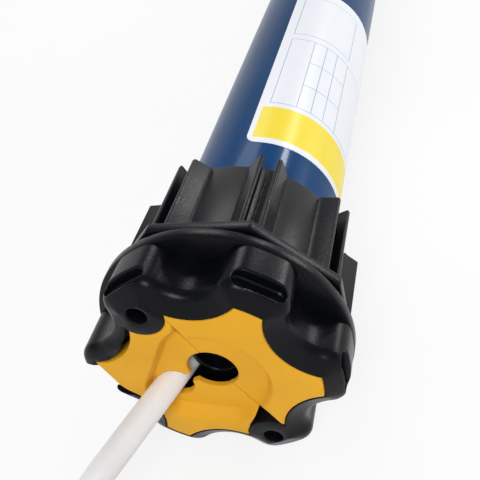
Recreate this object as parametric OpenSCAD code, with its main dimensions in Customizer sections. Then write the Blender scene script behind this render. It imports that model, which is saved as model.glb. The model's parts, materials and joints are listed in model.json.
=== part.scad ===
// Tubular roller blind motor, in millimetres.
// The origin is on the motor's axis at the front of the head. +Y runs along the tube, +Z is up.

/* [Head] */
// Length of the star shaped part of the head
head_len = 14.6; // [13.5:0.1:16]
// Radius to the corners of the six cover lobes
lobe_r = 28; // [27.5:0.1:28.5]
// Half of the angle across a cover lobe
lobe_half = 7; // [6:0.1:8]
// Depth of the valleys between the lobes
valley_depth = 6.8; // [6.4:0.1:7.2]
// Width of the lip around the covers
lip_w = 5.5; // [5:0.1:5.7]
// Lean of the lip's front, away from the covers
lip_lean = 28; // [24:1:32]
// Rounding between the lip's front and its side
lip_round = 3.2; // [2:0.1:4]
// Lean of the lip's front beside the cable channel
side_lean = 5; // [3:1:10]
// Rounding of the lip beside the cable channel
side_round = 2.4; // [2:0.1:3]
// Width of the relief between the lip and the edge of the covers, above the cable channel
edge_relief = 1.5; // [0.5:0.1:2]
// Thickness of the lip's hooks in front of the cable channel
hook_t = 3.2; // [2.8:0.1:4]
// Radius of the round flange behind the star
flange_r = 33.7; // [33.7:0.1:35]
// Thickness of the round flange
flange_t = 3.2; // [2.5:0.1:4.5]
// Distance from the lobes' corners in to the circle through the bracket screw holes
screw_inset = 2.5; // [2.3:0.1:2.7]
// Diameter of a bracket screw hole
screw_d = 4.9; // [4:0.1:5.5]
// Depth of a bracket screw hole
screw_depth = 12; // [8:0.1:13]
// Radius of the boss around a screw hole
boss_r = 6.5; // [5.5:0.1:6.6]
// Length of the clip slot in the face of each lobe
slot_len = 13.4; // [10:0.1:14]
// Width of a clip slot along the motor
slot_w = 4.2; // [3:0.1:5]
// Depth of a clip slot
slot_depth = 3; // [1.5:0.1:3.5]
// Distance from the front of the head to a clip slot
slot_from = 2.8; // [2:0.1:5]

/* [Covers] */
// Thickness of the covers at their rim
cover_t = 5; // [4.4:0.1:5.6]
// Radius of the upper cover's round dish at its brim
dish_r = 16; // [14:0.1:17]
// Radius of the flat floor of the dish
dish_floor_r = 13.6; // [12.5:0.1:14]
// Depth of the dish, and of the recess in the cable cover
dish_depth = 3; // [2:0.1:3.6]
// Distance from the axis to the two side walls of the recess
recess_wall = 14.3; // [13.6:0.1:15]
// Distance from the axis to the end wall of the recess
recess_end = 18; // [17.2:0.1:18.6]
// Angle from the middle of the recess to the way that each side wall faces
recess_spread = 53; // [50:1:56]
// Radius of the hole in the middle of the dish
hole_r = 6.5; // [5.5:0.1:7]
// Width of the thinner ring round that hole
hole_ring_w = 2.6; // [2:0.1:3]
// Thickness of the thinner ring
hole_ring_t = 1; // [0.8:0.1:1.3]
// Radius of the hole that the cable passes through
cable_hole_r = 4.6; // [4.3:0.1:4.8]
// Width of the neck between the two holes
neck_w = 3; // [2:0.1:4]
// Distance from the axis to the joint line of the two covers at the front
split_offset = 5.2; // [4.6:0.1:5.8]
// Lean of the joint between the two covers
split_lean = 51; // [45:0.5:55]
// Reach of the tongue that covers the cable channel, past the lobes' corners
tongue_reach = 1.45; // [0.8:0.05:2]

/* [Crown] */
// Width of the octagonal flange outside the ribs, at its corners
crown_brim = 2.65; // [2:0.05:2.8]
// Thickness of the octagonal flange
crown_flange_t = 3.3; // [2.8:0.1:4.5]
// Length of the crown
crown_len = 32; // [26:0.5:40]
// Wall of the crown's sleeve
sleeve_wall = 3.64; // [3:0.02:4.2]
// Height of the ribs on the sleeve
rib_height = 4.4; // [3.6:0.1:4.6]
// Half width of a pair of ribs at its foot
rib_foot = 5.1; // [4.4:0.1:5.6]
// Half width of a pair of ribs at its tip
rib_tip = 3.1; // [2.6:0.1:3.6]
// Width of the slot between two ribs
rib_slot = 3.6; // [2.4:0.1:4]
// Angle of the first pair of ribs
crown_turn = 25.3; // [0:0.1:44]
// Gap between the head's flange and the crown
crown_gap = 1.3; // [1:0.1:3]

/* [Tube] */
// Outer radius of the motor tube
tube_r = 23.5; // [23.2:0.05:23.8]
// Wall of the motor tube
tube_wall = 0.9; // [0.7:0.05:1.2]
// Length of the head's spigot inside the tube
spigot_len = 27; // [20:0.5:34]
// Wall of the spigot
spigot_wall = 3; // [2.4:0.1:3.4]
// Distance from the head to the label
label_from = 68; // [60:0.5:100]
// Length of the label
label_len = 108; // [60:1:140]
// Thickness of the label
label_t = 0.15; // [0.1:0.05:0.3]
// Radius of the tube rivets
rivet_r = 1.6; // [1.2:0.1:2]

/* [Electronics] */
// Length of the board carrier
board_len = 154; // [140:1:180]
// Room between the control board's edge and the carrier's outside
board_room = 6; // [5.5:0.1:7]
// Thickness of the control board
board_t = 1.6; // [1:0.1:2]
// Height of the control board under the axis
board_drop = 8; // [7:0.1:9]
// Thickness of the capacitor's rubber rings
cap_ring = 5.5; // [4:0.1:7]
// Length of the run capacitor
cap_len = 62; // [50:1:80]

/* [Motor] */
// Length of the stator's lamination stack
stack_len = 78; // [60:1:100]
// Radius of the rotor
rotor_r = 9; // [8:0.1:9.6]
// Gap between rotor and stator
air_gap = 0.3; // [0.25:0.05:0.5]
// Outer radius of the rotor bearings
bearing_r = 8; // [7:0.1:8.5]
// Thickness of the bearing bells
bell_t = 8; // [7:0.1:10]
// Number of stator slots
slots = 12; // [10:1:14]
// Room between the brake disc and the tube
brake_room = 8.5; // [8:0.1:10]
// Travel of the brake plate when the brake lets go
brake_travel = 0.8; // [0.4:0.1:1.2]

/* [Gears] */
// Wall of the ring gear behind its teeth
gear_wall = 2.3; // [1.9:0.1:3]
// Wall of the pinion under its teeth
pinion_wall = 0.8; // [0.7:0.05:1]
// Teeth of each sun gear
sun_teeth = 12; // [12:3:12]
// Teeth of each planet gear
planet_teeth = 18; // [15:3:18]
// Pressure angle
pressure = 25; // [24:0.5:26]
// Play between meshing teeth, taken off each gear
backlash = 0.12; // [0.1:0.01:0.16]
// Face widths of the planets in the three stages
face_w = [8, 10, 14.5];
// Thickness of the three carrier plates
plate_t = [4.5, 4.5, 6.5];
// Radius of the planet pins
pin_r = 2; // [1.6:0.1:2.4]

/* [Driven end] */
// Radius of the output shaft
output_r = 8; // [7:0.1:9]
// Wall of the output bush
bush_wall = 3; // [2:0.1:4]
// Length of the end flange inside the tube
end_len = 44; // [36:0.5:60]
// Distance across the flats of the drive wheel
wheel_af = 59; // [57:0.1:60]
// Length of the drive wheel
wheel_len = 36; // [28:0.5:44]
// Wall of the drive wheel's rim
wheel_wall = 3.5; // [2.5:0.1:5]
// Radius of the drive wheel's hub
wheel_hub_r = 13; // [11.5:0.1:15]

/* [Cable] */
// Diameter of the mains lead
cord_d = 7.2; // [7:0.1:7.2]
// Least radius of the coil, at the middle of the cord
coil_in_r = 31; // [30:0.5:32]
// Distance between neighbouring turns and layers
coil_pitch = 7.8; // [7.8:0.1:8]
// Diameter of one core of the lead
core_d = 2.4; // [2:0.1:2.6]
// Length of the stripped cores
core_len = 26; // [15:1:30]

/* [Hidden] */
$fn = 96;

// Clearances
cover_gap = 0.15;
press_gap = 0.1;
running_gap = 0.06;
side_gap = 0.5;
bay_gap = 8;
eps = 0.02;

// Angles of the head: screw holes at the first and fourth lobes, cable side between them
screw_angles = [120, 300];
split_angle = 30;
lobe_step = 60;
cable_lobe = 180;
lip_layers = 6;
corner_steps = 3;
valley_steps = 8;

// The curve of a valley between two lobes
valley_r = lobe_r - valley_depth;
valley_half = lobe_step / 2 - lobe_half;
corner_x = lobe_r * cos(valley_half);
valley_at = (lobe_r * lobe_r - valley_r * valley_r) / (2 * (corner_x - valley_r));
valley_curve = valley_at - valley_r;
corner_to_valley = valley_at * [cos(lobe_step / 2), sin(lobe_step / 2)]
    - lobe_r * [cos(lobe_half), sin(lobe_half)];
corner_turn = atan2(corner_to_valley.y, corner_to_valley.x);

// The lip: a leaning front, then a rounded edge
function lip_front(lean, round) = (lip_w - cover_gap - round * (1 - sin(lean))) * tan(lean);
function lip_depth(lean, round) = lip_front(lean, round) + round * cos(lean);
function lip_out(y, lean, round) =
    let (left = lip_depth(lean, round) - y)
    left <= 0 ? lip_w
    : y < lip_front(lean, round) ? cover_gap + y / tan(lean)
    : lip_w - round + sqrt(round * round - left * left);
lip_d = lip_depth(lip_lean, lip_round);

// The bracket screws and the channel for a lead that leaves sideways
screw_at = lobe_r - screw_inset;
channel_z = [-9, 2.6];
channel_back_z = [-11.6, 3.8];

// Places along the motor
neck_from = head_len + flange_t;
crown_from = neck_from + crown_gap;
crown_flange_to = crown_from + crown_flange_t;
crown_to = crown_from + crown_len;
lug_from = crown_from + 1;
lug_to = lug_from + 2;
lug_depth = 1.4;
tube_from = crown_flange_to + 2;
spigot_to = tube_from + spigot_len;
head_rivet_y = (tube_from + spigot_to) / 2;
board_from = spigot_to + bay_gap;
board_to = board_from + board_len;
cap_from = board_to + bay_gap;
cap_to = cap_from + cap_len;
front_bell_from = cap_to + bay_gap;
front_bell_to = front_bell_from + bell_t;
overhang = 6;
stack_from = front_bell_to + overhang;
stack_to = stack_from + stack_len;
rear_bell_from = stack_to + overhang;
rear_bell_to = rear_bell_from + bell_t;
brake_from = rear_bell_to + 2;
brake_wall = 3;
disc_from = brake_from + 5;
disc_t = 3;
disc_to = disc_from + disc_t;
brake_plate_from = disc_to + 0.3;
brake_plate_t = 3;
brake_plate_to = brake_plate_from + brake_plate_t;
spring_from = brake_plate_to + 0.2;
spring_len = 12;
spring_to = spring_from + spring_len;
brake_to = spring_to + 0.2 + brake_wall;
gear_from = brake_to + 1;
planet_from = [for (s = [0 : 2]) gear_from + 4 + stage_start(s)];
plate_from = [for (s = [0 : 2]) planet_from[s] + face_w[s] + side_gap];
plate_to = [for (s = [0 : 2]) plate_from[s] + plate_t[s]];
gear_to = plate_to[2] + 3;
end_from = gear_to + 1;
tube_to = end_from + end_len;
end_rim = 3.5;
wheel_from = tube_to + end_rim + 6;
wheel_to = wheel_from + wheel_len;

// Radii inside the tube
tube_in = tube_r - tube_wall;
core_r = tube_in - press_gap;
bay_r = core_r - spigot_wall;
sleeve_r = tube_r + running_gap + sleeve_wall;
rib_r = sleeve_r + rib_height;
crown_flange_r = rib_r + crown_brim;
cap_r = core_r - cap_ring;
brake_r = core_r - brake_room;

// Inside of the head
cavity_r = 18.8;
cavity_to = 11;
wall_to = head_len + 0.2;
cable_at = [-10.9, -5.75];
cable_hole_at = [-10.9, -6.3];
neck_angle = atan2(cable_hole_at.y, cable_hole_at.x);
lead_gap = 0.3;
plug_r = 5.5;
plug_from = 8;
plug_to = wall_to - press_gap;
hub_r = 6.6;
hub_wall = 1.2;
hub_from = 7.5;
socket_t = 4;
contact_r = 0.8;
contact_step = 2.2;
contact_from = plug_from + 2.2;
contact_to = wall_to + socket_t + 8;

// Gears
ring_teeth = sun_teeth + 2 * planet_teeth;
root = 1.25;
gear_m = (core_r - gear_wall) / (ring_teeth / 2 + root);
shaft_r = gear_m * (sun_teeth / 2 - root) - pinion_wall;
orbit_r = gear_m * (sun_teeth + planet_teeth) / 2;
planets = 3;
planet_step = 360 / planets;
sun_phase = (planet_teeth - 1) * 180 / sun_teeth;
addendum = gear_m;
dedendum = root * gear_m;
flank_steps = 4;
carrier_r = orbit_r + pin_r + 2.6;

function stage_start(s) =
    s == 0 ? 0 : stage_start(s - 1) + face_w[s - 1] + side_gap + plate_t[s - 1] + 3;
function involute(a) = tan(a) * 180 / PI - a;
function at(r, a) = [r * cos(a), r * sin(a)];
function tooth_half(r, pitch_r, thick) =
    thick / (2 * pitch_r) * 180 / PI + involute(pressure)
        - involute(acos(min(1, pitch_r * cos(pressure) / r)));
function flank(foot_r, tip_r, pitch_r, thick) =
    let (start = max(foot_r, pitch_r * cos(pressure)))
    concat(
        foot_r < start ? [[foot_r, tooth_half(start, pitch_r, thick)]] : [],
        [for (i = [0 : flank_steps])
            let (r = start + (tip_r - start) * i / flank_steps)
            [r, tooth_half(r, pitch_r, thick)]]
    );
function gear_outline(teeth, foot_r, tip_r, thick) =
    let (
        pitch_r = gear_m * teeth / 2,
        side = flank(foot_r, tip_r, pitch_r, thick),
        last = len(side) - 1
    )
    [for (t = [0 : teeth - 1])
        each concat(
            [for (p = side) at(p[0], t * 360 / teeth - p[1])],
            [for (i = [0 : last]) at(side[last - i][0], t * 360 / teeth + side[last - i][1])]
        )];

// The floor that the motor and its coil lie on, and the lead's height there
floor_z = -max(flange_r, crown_flange_r);
coil_lift = 1.2;
lead_low = floor_z + coil_lift + cord_d / 2;

// The lead's route, from the plug to the coil
lead_points = [
    [-10.75, 8, -5.62], [-13.1, 3, -6.6], [-15.45, -2, -7.58], [-17.81, -7, -8.56], [-20.16, -12, -9.54],
    [-22.5, -17, -10.52], [-25.1, -22.5, -11.7], [-27.9, -27.8, -14.2], [-31.6, -33.2, -17.8],
    [-35.8, -39, -23.4], [-40.4, -45.4, lead_low + 1.6], [-44.4, -51, lead_low + 0.3],
    [-48.6, -57, lead_low], [-54, -64.8, lead_low]
];
lead_sides = 10;
lead_in = unit(lead_points[0] - lead_points[1]);
lead_rise = asin(lead_in.z);
lead_turn = atan2(-lead_in.x, lead_in.y);

// The coil: the cord spirals in and out over four layers, and climbs where the spiral turns back
coil_layers = 4;
coil_layer_turns = 2.75;
coil_turns = 9.25;
coil_sides = 6;
coil_rings = 24;
coil_heading = atan2(lead_points[13].y - lead_points[12].y, lead_points[13].x - lead_points[12].x);
coil_start = coil_heading - 90;
coil_out_r = coil_in_r + coil_layer_turns * coil_pitch;
coil_entry = lead_points[13] + cord_d * [cos(coil_heading), sin(coil_heading), 0];
coil_centre = [
    coil_entry.x - coil_out_r * cos(coil_start), coil_entry.y - coil_out_r * sin(coil_start), coil_entry.z
];

function coil_layer(t) = floor(t / coil_layer_turns);
function coil_radius(t) =
    let (u = t - coil_layer(t) * coil_layer_turns)
    coil_layer(t) % 2 == 0 ? coil_out_r - u * coil_pitch : coil_in_r + u * coil_pitch;
function climb(x) = x < 0 ? 0 : x > 1 ? 1 : x;
function sum(v, i = 0) = i < len(v) ? v[i] + sum(v, i + 1) : 0;
function coil_height(t) =
    coil_pitch * sum([for (k = [1 : coil_layers - 1]) climb((t - k * coil_layer_turns) * 2 + 0.5)]);
function coil_point(t) =
    coil_centre + [
        coil_radius(t) * cos(coil_start + 360 * t), coil_radius(t) * sin(coil_start + 360 * t), coil_height(t)
    ];
coil_loops = [for (i = [0 : coil_turns * coil_rings]) coil_point(i / coil_rings)];
coil_last = len(coil_loops) - 1;
coil_away = unit([
    coil_loops[coil_last].x - coil_loops[coil_last - 1].x,
    coil_loops[coil_last].y - coil_loops[coil_last - 1].y, 0
]);
coil_end = coil_loops[coil_last] + cord_d * coil_away;
coil_points = concat([lead_points[13]], coil_loops, [coil_end]);

function unit(v) = v / norm(v);
function heading(path, i) =
    i == 0 ? unit(path[1] - path[0])
    : i == len(path) - 1 ? unit(path[i] - path[i - 1])
    : unit(path[i + 1] - path[i - 1]);
function ring_of(p, d, r, n) =
    let (s = unit(cross(d, [0, 0, 1])), u = cross(s, d))
    [for (j = [0 : n - 1]) p + r * (cos(360 * j / n) * s + sin(360 * j / n) * u)];
function path_length(path) = sum([for (i = [1 : len(path) - 1]) norm(path[i] - path[i - 1])]);
function least_gap(path, apart) =
    min([for (i = [0 : len(path) - 1 - apart])
        min([for (j = [i + apart : len(path) - 1]) norm(path[j] - path[i])])]) - cord_d;

echo(lead_length = path_length(lead_points), coil_length = path_length(coil_points));
echo(coil_least_gap = least_gap(coil_points, coil_rings / 2));

// Colours
black = [0.1, 0.1, 0.11];
yellow = [0.87, 0.64, 0.2];
blue = [0.1, 0.26, 0.52];
white = [0.93, 0.93, 0.94];
steel = [0.62, 0.63, 0.65];
brass = [0.78, 0.62, 0.3];
copper = [0.72, 0.4, 0.2];

// A drawing with X to the right and Z up, given length along the motor
module along(y0, y1) {
    translate([0, y1, 0]) rotate([90, 0, 0]) linear_extrude(y1 - y0) children();
}

// A profile of radius and distance along the motor, turned about the axis
module turned() {
    rotate([-90, 0, 0]) rotate_extrude() children();
}

module ring(outer, inner, y0, y1) {
    turned() translate([inner, y0]) square([outer - inner, y1 - y0]);
}

module rod(r, y0, y1) {
    along(y0, y1) circle(r);
}

// Turns +X to an angle seen from the head
module at_angle(a) {
    rotate([0, -a, 0]) children();
}

module bar(x, y, z) {
    translate([x[0], y[0], z[0]]) cube([x[1] - x[0], y[1] - y[0], z[1] - z[0]]);
}

// Points of the cover opening's outline with its six lobes, moved out by a distance
function corner_arc(lobe, side, out) =
    [for (i = [0 : out > 0 ? corner_steps : 0])
        at(lobe_r, lobe + side * lobe_half)
            + at(out, lobe + side * (corner_turn + (lobe_half - corner_turn) * i / corner_steps))];
function valley_arc(a, outs, first = 1) =
    [for (i = [first : valley_steps - 1])
        at(valley_at, a)
            + at(valley_curve - outs[i],
                a + 180 + (corner_turn - lobe_step / 2) * (1 - 2 * i / valley_steps))];
function level(out) = [for (i = [0 : valley_steps]) out];
function reversed(v) = [for (i = [1 : len(v)]) v[len(v) - i]];
function lobe_points(lobe, out) =
    concat(corner_arc(lobe, -1, out), [at(lobe_r + out, lobe)], reversed(corner_arc(lobe, 1, out)));
function star_points(out, side) =
    [for (lobe = [0 : lobe_step : 359])
        each concat(
            lobe_points(lobe, lobe == cable_lobe ? side : out),
            valley_arc(lobe + lobe_step / 2, [for (i = [0 : valley_steps])
                lobe == cable_lobe ? side + (out - side) * climb((i - 3) / 3)
                : lobe == cable_lobe - lobe_step ? out + (side - out) * climb((i - 2) / 3)
                : out])
        )];

// The covers' outline: the same, with a tongue in place of the lobe on the cable side
function tongue_points(out) = [
    at(lobe_r + tongue_reach, cable_lobe - lobe_half) + at(2.1 * out, cable_lobe - 37),
    at(lobe_r - 2.2, cable_lobe + 11) + at(out, cable_lobe + 32),
    at(lobe_r - 3.2, cable_lobe + 15.6) + at(out, cable_lobe + 46),
    at(valley_r + 1.1, cable_lobe + 25) + at(out, cable_lobe + 53)
];
function cover_points(out, relief = 0) =
    [for (lobe = [0 : lobe_step : 359])
        each lobe == cable_lobe
            ? concat(tongue_points(out), valley_arc(lobe + lobe_step / 2, level(out), valley_steps / 2))
            : concat(
                lobe_points(lobe, out),
                valley_arc(lobe + lobe_step / 2, lobe == cable_lobe - lobe_step
                    ? [for (i = [0 : valley_steps]) out + relief * sin(180 * i / valley_steps)]
                    : level(out))
            )];

module bosses(r) {
    for (a = screw_angles) translate(at(screw_at, a)) circle(r);
}

// Rounded slot in the face of a lobe, in the local frame of that lobe
module clip_slot() {
    end = slot_len / 2 - slot_w / 2;
    translate([lobe_r + lip_w - slot_depth, slot_from + slot_w / 2, 0]) {
        for (s = [-1, 1]) translate([0, 0, s * end]) rotate([0, 90, 0]) cylinder(d = slot_w, h = flange_r);
        bar([0, flange_r], [-slot_w / 2, slot_w / 2], [-end, end]);
    }
}

module lip() {
    step = lip_d / lip_layers;
    for (k = [0 : lip_layers - 1]) along(k * step, head_len)
        polygon(star_points(
            lip_out((k + 0.5) * step, lip_lean, lip_round), lip_out((k + 0.5) * step, side_lean, side_round)
        ));
    along(lip_d, head_len) polygon(star_points(lip_w, lip_w));
}

module rivet_holes(y, r) {
    for (a = [90, 210, 330])
        at_angle(a) translate([bay_r - 1, y, 0]) rotate([0, 90, 0]) cylinder(r = r, h = tube_r);
}

module head_body() {
    color(black) difference() {
        union() {
            lip();
            rod(flange_r, head_len, neck_from);
            rod(tube_r, neck_from, tube_from);
            rod(core_r, tube_from, spigot_to);
        }
        along(-eps, cover_t) difference() {
            polygon(cover_points(cover_gap, edge_relief));
            bosses(boss_r);
        }
        bar([-2 * flange_r, -cavity_r + 1], [-eps, hook_t], channel_z);
        bar([-2 * flange_r, -cavity_r + 1], [hook_t - eps, cavity_to], channel_back_z);
        difference() {
            rod(cavity_r, cover_t - eps, cavity_to);
            ring(hub_r, hub_r - hub_wall, hub_from, cavity_to + eps);
        }
        translate([cable_at.x, 0, cable_at.y]) rod(plug_r + press_gap, cavity_to - eps, wall_to + eps);
        rod(bay_r, wall_to, spigot_to + eps);
        ring(tube_r + 1, tube_r - lug_depth - 2 * press_gap,
            lug_from - 2 * press_gap, lug_to + 2 * press_gap);
        along(-eps, screw_depth) bosses(screw_d / 2);
        for (lobe = [0 : lobe_step : 359]) at_angle(lobe) clip_slot();
        rivet_holes(head_rivet_y, rivet_r + eps);
    }
}

// The frame of the lead's end in the plug, with +Y along the lead into the head
module along_lead() {
    translate(lead_points[0]) rotate([lead_rise, 0, lead_turn]) children();
}

// Both covers in one piece, before the joint is cut
module cover_blank() {
    difference() {
        along(0, cover_t) difference() {
            polygon(cover_points(0));
            bosses(boss_r + cover_gap);
        }
        rod(hole_r, -eps, cover_t + eps);
        rod(hole_r + hole_ring_w, dish_depth + hole_ring_t, cover_t + eps);
        translate([cable_hole_at.x, 0, cable_hole_at.y]) rod(cable_hole_r, -1, cover_t + eps);
        along_lead() rod(cord_d / 2 + lead_gap, -4 * plug_r, plug_r);
        at_angle(neck_angle) bar([0, norm(cable_hole_at)], [-eps, cover_t + eps], [-neck_w / 2, neck_w / 2]);
    }
}

// The round dish in the upper cover
module dish() {
    turned() polygon([
        [0, -1], [dish_r + 1, -1], [dish_r, 0], [(dish_r + dish_floor_r) / 2, dish_depth / 2],
        [dish_floor_r, dish_depth], [0, dish_depth]
    ]);
}

// The recess in the cable cover: a fan that opens from the cable hole towards the joint
module recess() {
    half = function(x) (recess_wall - x * cos(recess_spread)) / sin(recess_spread);
    at_angle(neck_angle) along(-eps, dish_depth) polygon([
        for (x = [recess_end, -flange_r]) [x, -half(x)], for (x = [-flange_r, recess_end]) [x, half(x)]
    ]);
}

// Everything on the upper side of the leaning joint
module upper_side(shift) {
    at_angle(split_angle) translate([split_offset + shift, 0, 0]) rotate([0, 0, split_lean])
        bar([0, 2 * flange_r], [-flange_r, flange_r], [-flange_r, flange_r]);
}

module upper_cover() {
    color(yellow) intersection() {
        difference() {
            cover_blank();
            dish();
        }
        upper_side(cover_gap);
    }
}

module cable_cover() {
    color(yellow) difference() {
        cover_blank();
        recess();
        upper_side(0);
        along(-eps, cover_t + eps) translate(at(screw_at, screw_angles[1]))
            polygon([[-2.45, 10], [-5.65, 3.9], [-5.65, -1.9], [5.25, -1.9], [5.25, 10]]);
    }
}

module contacts(r, y0, y1) {
    for (x = [-1, 1], z = [-1, 1])
        translate([cable_at.x + x * contact_step, 0, cable_at.y + z * contact_step]) rod(r, y0, y1);
}

module cable_plug() {
    reach = 3 * plug_r;
    color(white) difference() {
        translate([cable_at.x, 0, cable_at.y]) rod(plug_r, cover_t + press_gap, plug_to);
        along_lead() bar([-reach, reach], [-reach, 0], [-reach, reach]);
        contacts(contact_r + running_gap, contact_from - eps, plug_to + eps);
    }
}

module plug_socket() {
    color([0.85, 0.84, 0.8]) difference() {
        rod(bay_r - press_gap, wall_to, wall_to + socket_t);
        contacts(contact_r, wall_to - eps, wall_to + socket_t + eps);
    }
}

module socket_pins() {
    color(brass) contacts(contact_r, contact_from, contact_to);
}

module motor_tube() {
    color(blue) difference() {
        ring(tube_r, tube_in, tube_from, tube_to);
        rivet_holes(head_rivet_y, rivet_r + eps);
        rivet_holes(tube_to - end_len / 2, rivet_r + eps);
    }
}

module tube_label() {
    color(white) rotate([-90, 0, 0]) rotate([0, 0, -94]) rotate_extrude(angle = 134)
        translate([tube_r, label_from]) square([label_t, label_len]);
}

module tube_rivets() {
    color(steel) for (y = [head_rivet_y, tube_to - end_len / 2], a = [90, 210, 330])
        at_angle(a) translate([bay_r, y, 0]) rotate([0, 90, 0])
            cylinder(r = rivet_r, h = tube_r - bay_r - press_gap);
}

// A pair of ribs with a fine ridge between them, in the drawing of the crown's end
module rib_pair() {
    floor_r = sleeve_r + 0.2;
    difference() {
        polygon([
            [sleeve_r - 1, -rib_foot], [sleeve_r - 0.4, -rib_foot], [rib_r, -rib_tip], [rib_r, rib_tip],
            [sleeve_r - 0.4, rib_foot], [sleeve_r - 1, rib_foot]
        ]);
        translate([floor_r, -rib_slot / 2]) square([rib_r, rib_slot]);
    }
    translate([floor_r - 0.5, -0.25]) square([1.1, 0.5]);
}

module crown() {
    bore = tube_r + running_gap;
    color(black) {
        difference() {
            union() {
                along(crown_from, crown_flange_to) rotate(crown_turn) circle(crown_flange_r, $fn = 8);
                rod(sleeve_r, crown_flange_to, crown_to);
                along(crown_flange_to, crown_to)
                    for (a = [0 : 45 : 315]) rotate(crown_turn + a) rib_pair();
            }
            rod(bore, crown_from - eps, crown_to + eps);
        }
        along(lug_from, lug_to) intersection() {
            difference() {
                circle(bore + 0.5);
                circle(tube_r - lug_depth);
            }
            for (a = [0 : planet_step : 359]) rotate(crown_turn + a) polygon([[0, 0], [40, -12], [40, 12]]);
        }
    }
}

board_x = core_r - board_room;
board_top = board_t - board_drop + press_gap;
board_end_t = 3;

// Places of the parts along the board
relay_from = 12;
relay_len = 20;
relay_gap = 2;
supply_from = relay_from + relay_len + bay_gap;
supply_len = 30;
terminal_len = 12;
terminal_from = board_len - board_end_t - 11 - terminal_len;
radio_len = 28;
radio_from = (supply_from + supply_len + terminal_from - radio_len) / 2;

module board_carrier() {
    color([0.75, 0.75, 0.72]) {
        for (y = [board_from, board_to - board_end_t]) difference() {
            rod(core_r, y, y + board_end_t);
            bar([-10, 10], [y - eps, y + board_end_t + eps], [0, 12]);
        }
        bar([-board_x - 1, board_x + 1], [board_from + 1, board_to - 1], [-board_drop - 2, -board_drop]);
    }
}

module control_board() {
    color([0.1, 0.4, 0.22])
        bar([-board_x, board_x], [board_from + board_end_t + 1, board_to - board_end_t - 1],
            [-board_drop + press_gap, board_top]);
}

// A part on the control board: distance from the board's start, length, sides and height
module on_board(from, length, sides, height) {
    bar(sides, [board_from + from, board_from + from + length], [board_top, board_top + height]);
}

module board_relays() {
    inner = relay_gap / 2;
    outer = board_x - 1.5;
    color([0.15, 0.3, 0.6]) {
        on_board(relay_from, relay_len, [inner, outer], 13);
        on_board(relay_from, relay_len, [-outer, -inner], 13);
    }
}

module supply_block() {
    half = board_x - 4.5;
    color([0.9, 0.75, 0.2]) on_board(supply_from, supply_len, [-half, half], 18);
}

module radio_module() {
    half = board_x - 6.5;
    color([0.1, 0.25, 0.45]) on_board(radio_from, radio_len, [-half, half], 4);
}

module terminal_block() {
    half = board_x - 3.5;
    color([0.2, 0.5, 0.3]) on_board(terminal_from, terminal_len, [-half, half], 9);
}

module run_capacitor() {
    color([0.85, 0.85, 0.85]) {
        turned() polygon([
            [0, cap_from], [cap_r - 1.5, cap_from], [cap_r, cap_from + 1.5], [cap_r, cap_to - 1.5],
            [cap_r - 1.5, cap_to], [0, cap_to]
        ]);
        for (s = [-1, 1]) bar([s * 5 - 0.4, s * 5 + 0.4], [cap_from - 5, cap_from + eps], [-3, 3]);
    }
}

module capacitor_rings() {
    ring_len = 6;
    inset = 8;
    color([0.2, 0.2, 0.2]) for (y = [cap_from + inset, cap_to - inset - ring_len])
        ring(core_r, cap_r, y, y + ring_len);
}

// An end bell that carries a rotor bearing
module bell(y0) {
    color(steel) difference() {
        rod(core_r, y0, y0 + bell_t);
        rod(bearing_r, y0 - eps, y0 + bell_t + eps);
        for (a = [30 : lobe_step : 359])
            at_angle(a) translate([(bearing_r + core_r) / 2, 0, 0]) rod(2.6, y0 - eps, y0 + bell_t + eps);
    }
}

module bearing(y0) {
    color([0.7, 0.71, 0.73]) ring(bearing_r, shaft_r + running_gap, y0 + 1, y0 + bell_t - 1);
}

module front_bell() {
    bell(front_bell_from);
}

module front_bearing() {
    bearing(front_bell_from);
}

module rear_bell() {
    bell(rear_bell_from);
}

module rear_bearing() {
    bearing(rear_bell_from);
}

slot_in = rotor_r + air_gap + 1.6;
slot_out = core_r - 3.6;
slot_half = 1.5;

module slot_bars(gap, y0, y1) {
    for (a = [0 : 360 / slots : 359])
        at_angle(a) bar([slot_in + gap, slot_out - gap], [y0, y1], [-slot_half + gap, slot_half - gap]);
}

module stator_core() {
    color(steel) difference() {
        rod(core_r, stack_from, stack_to);
        rod(rotor_r + air_gap, stack_from - eps, stack_to + eps);
        slot_bars(0, stack_from - eps, stack_to + eps);
    }
}

module stator_windings() {
    turn_t = overhang - 1.2;
    color(copper) {
        slot_bars(press_gap, stack_from - turn_t, stack_to + turn_t);
        for (y = [stack_from - turn_t - 0.2, stack_to + 0.2])
            ring(slot_out - press_gap, slot_in + press_gap, y, y + turn_t);
    }
}

module rotor_core() {
    color(steel) ring(rotor_r, shaft_r, stack_from + 6, stack_to - 6);
}

module rotor_shaft() {
    color([0.7, 0.71, 0.73]) rod(shaft_r, front_bell_from - 2, planet_from[0] + face_w[0]);
}

module brake_disc() {
    color([0.35, 0.3, 0.26]) ring(brake_r, shaft_r, disc_from, disc_to);
}

module brake_keys(gap, y0, y1) {
    for (a = [0, 180])
        at_angle(a) bar([shaft_r + 3, brake_r + 4 + gap], [y0, y1], [-2.5 - gap, 2.5 + gap]);
}

module brake_plate() {
    color(steel) difference() {
        union() {
            rod(brake_r, brake_plate_from, brake_plate_to);
            brake_keys(0, brake_plate_from, brake_plate_to);
        }
        rod(shaft_r + 1.5, brake_plate_from - eps, brake_plate_to + eps);
    }
}

module brake_spring() {
    inner = shaft_r + 3.5;
    outer = brake_r - 3;
    wall = 1.6;
    bends = 4;
    zigzag = [for (i = [0 : bends])
        [i % 2 == 0 ? inner : outer - wall, spring_from + i * spring_len / bends]];
    color(steel) turned() polygon(concat(zigzag, [for (p = reversed(zigzag)) [p[0] + wall, p[1]]]));
}

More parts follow.
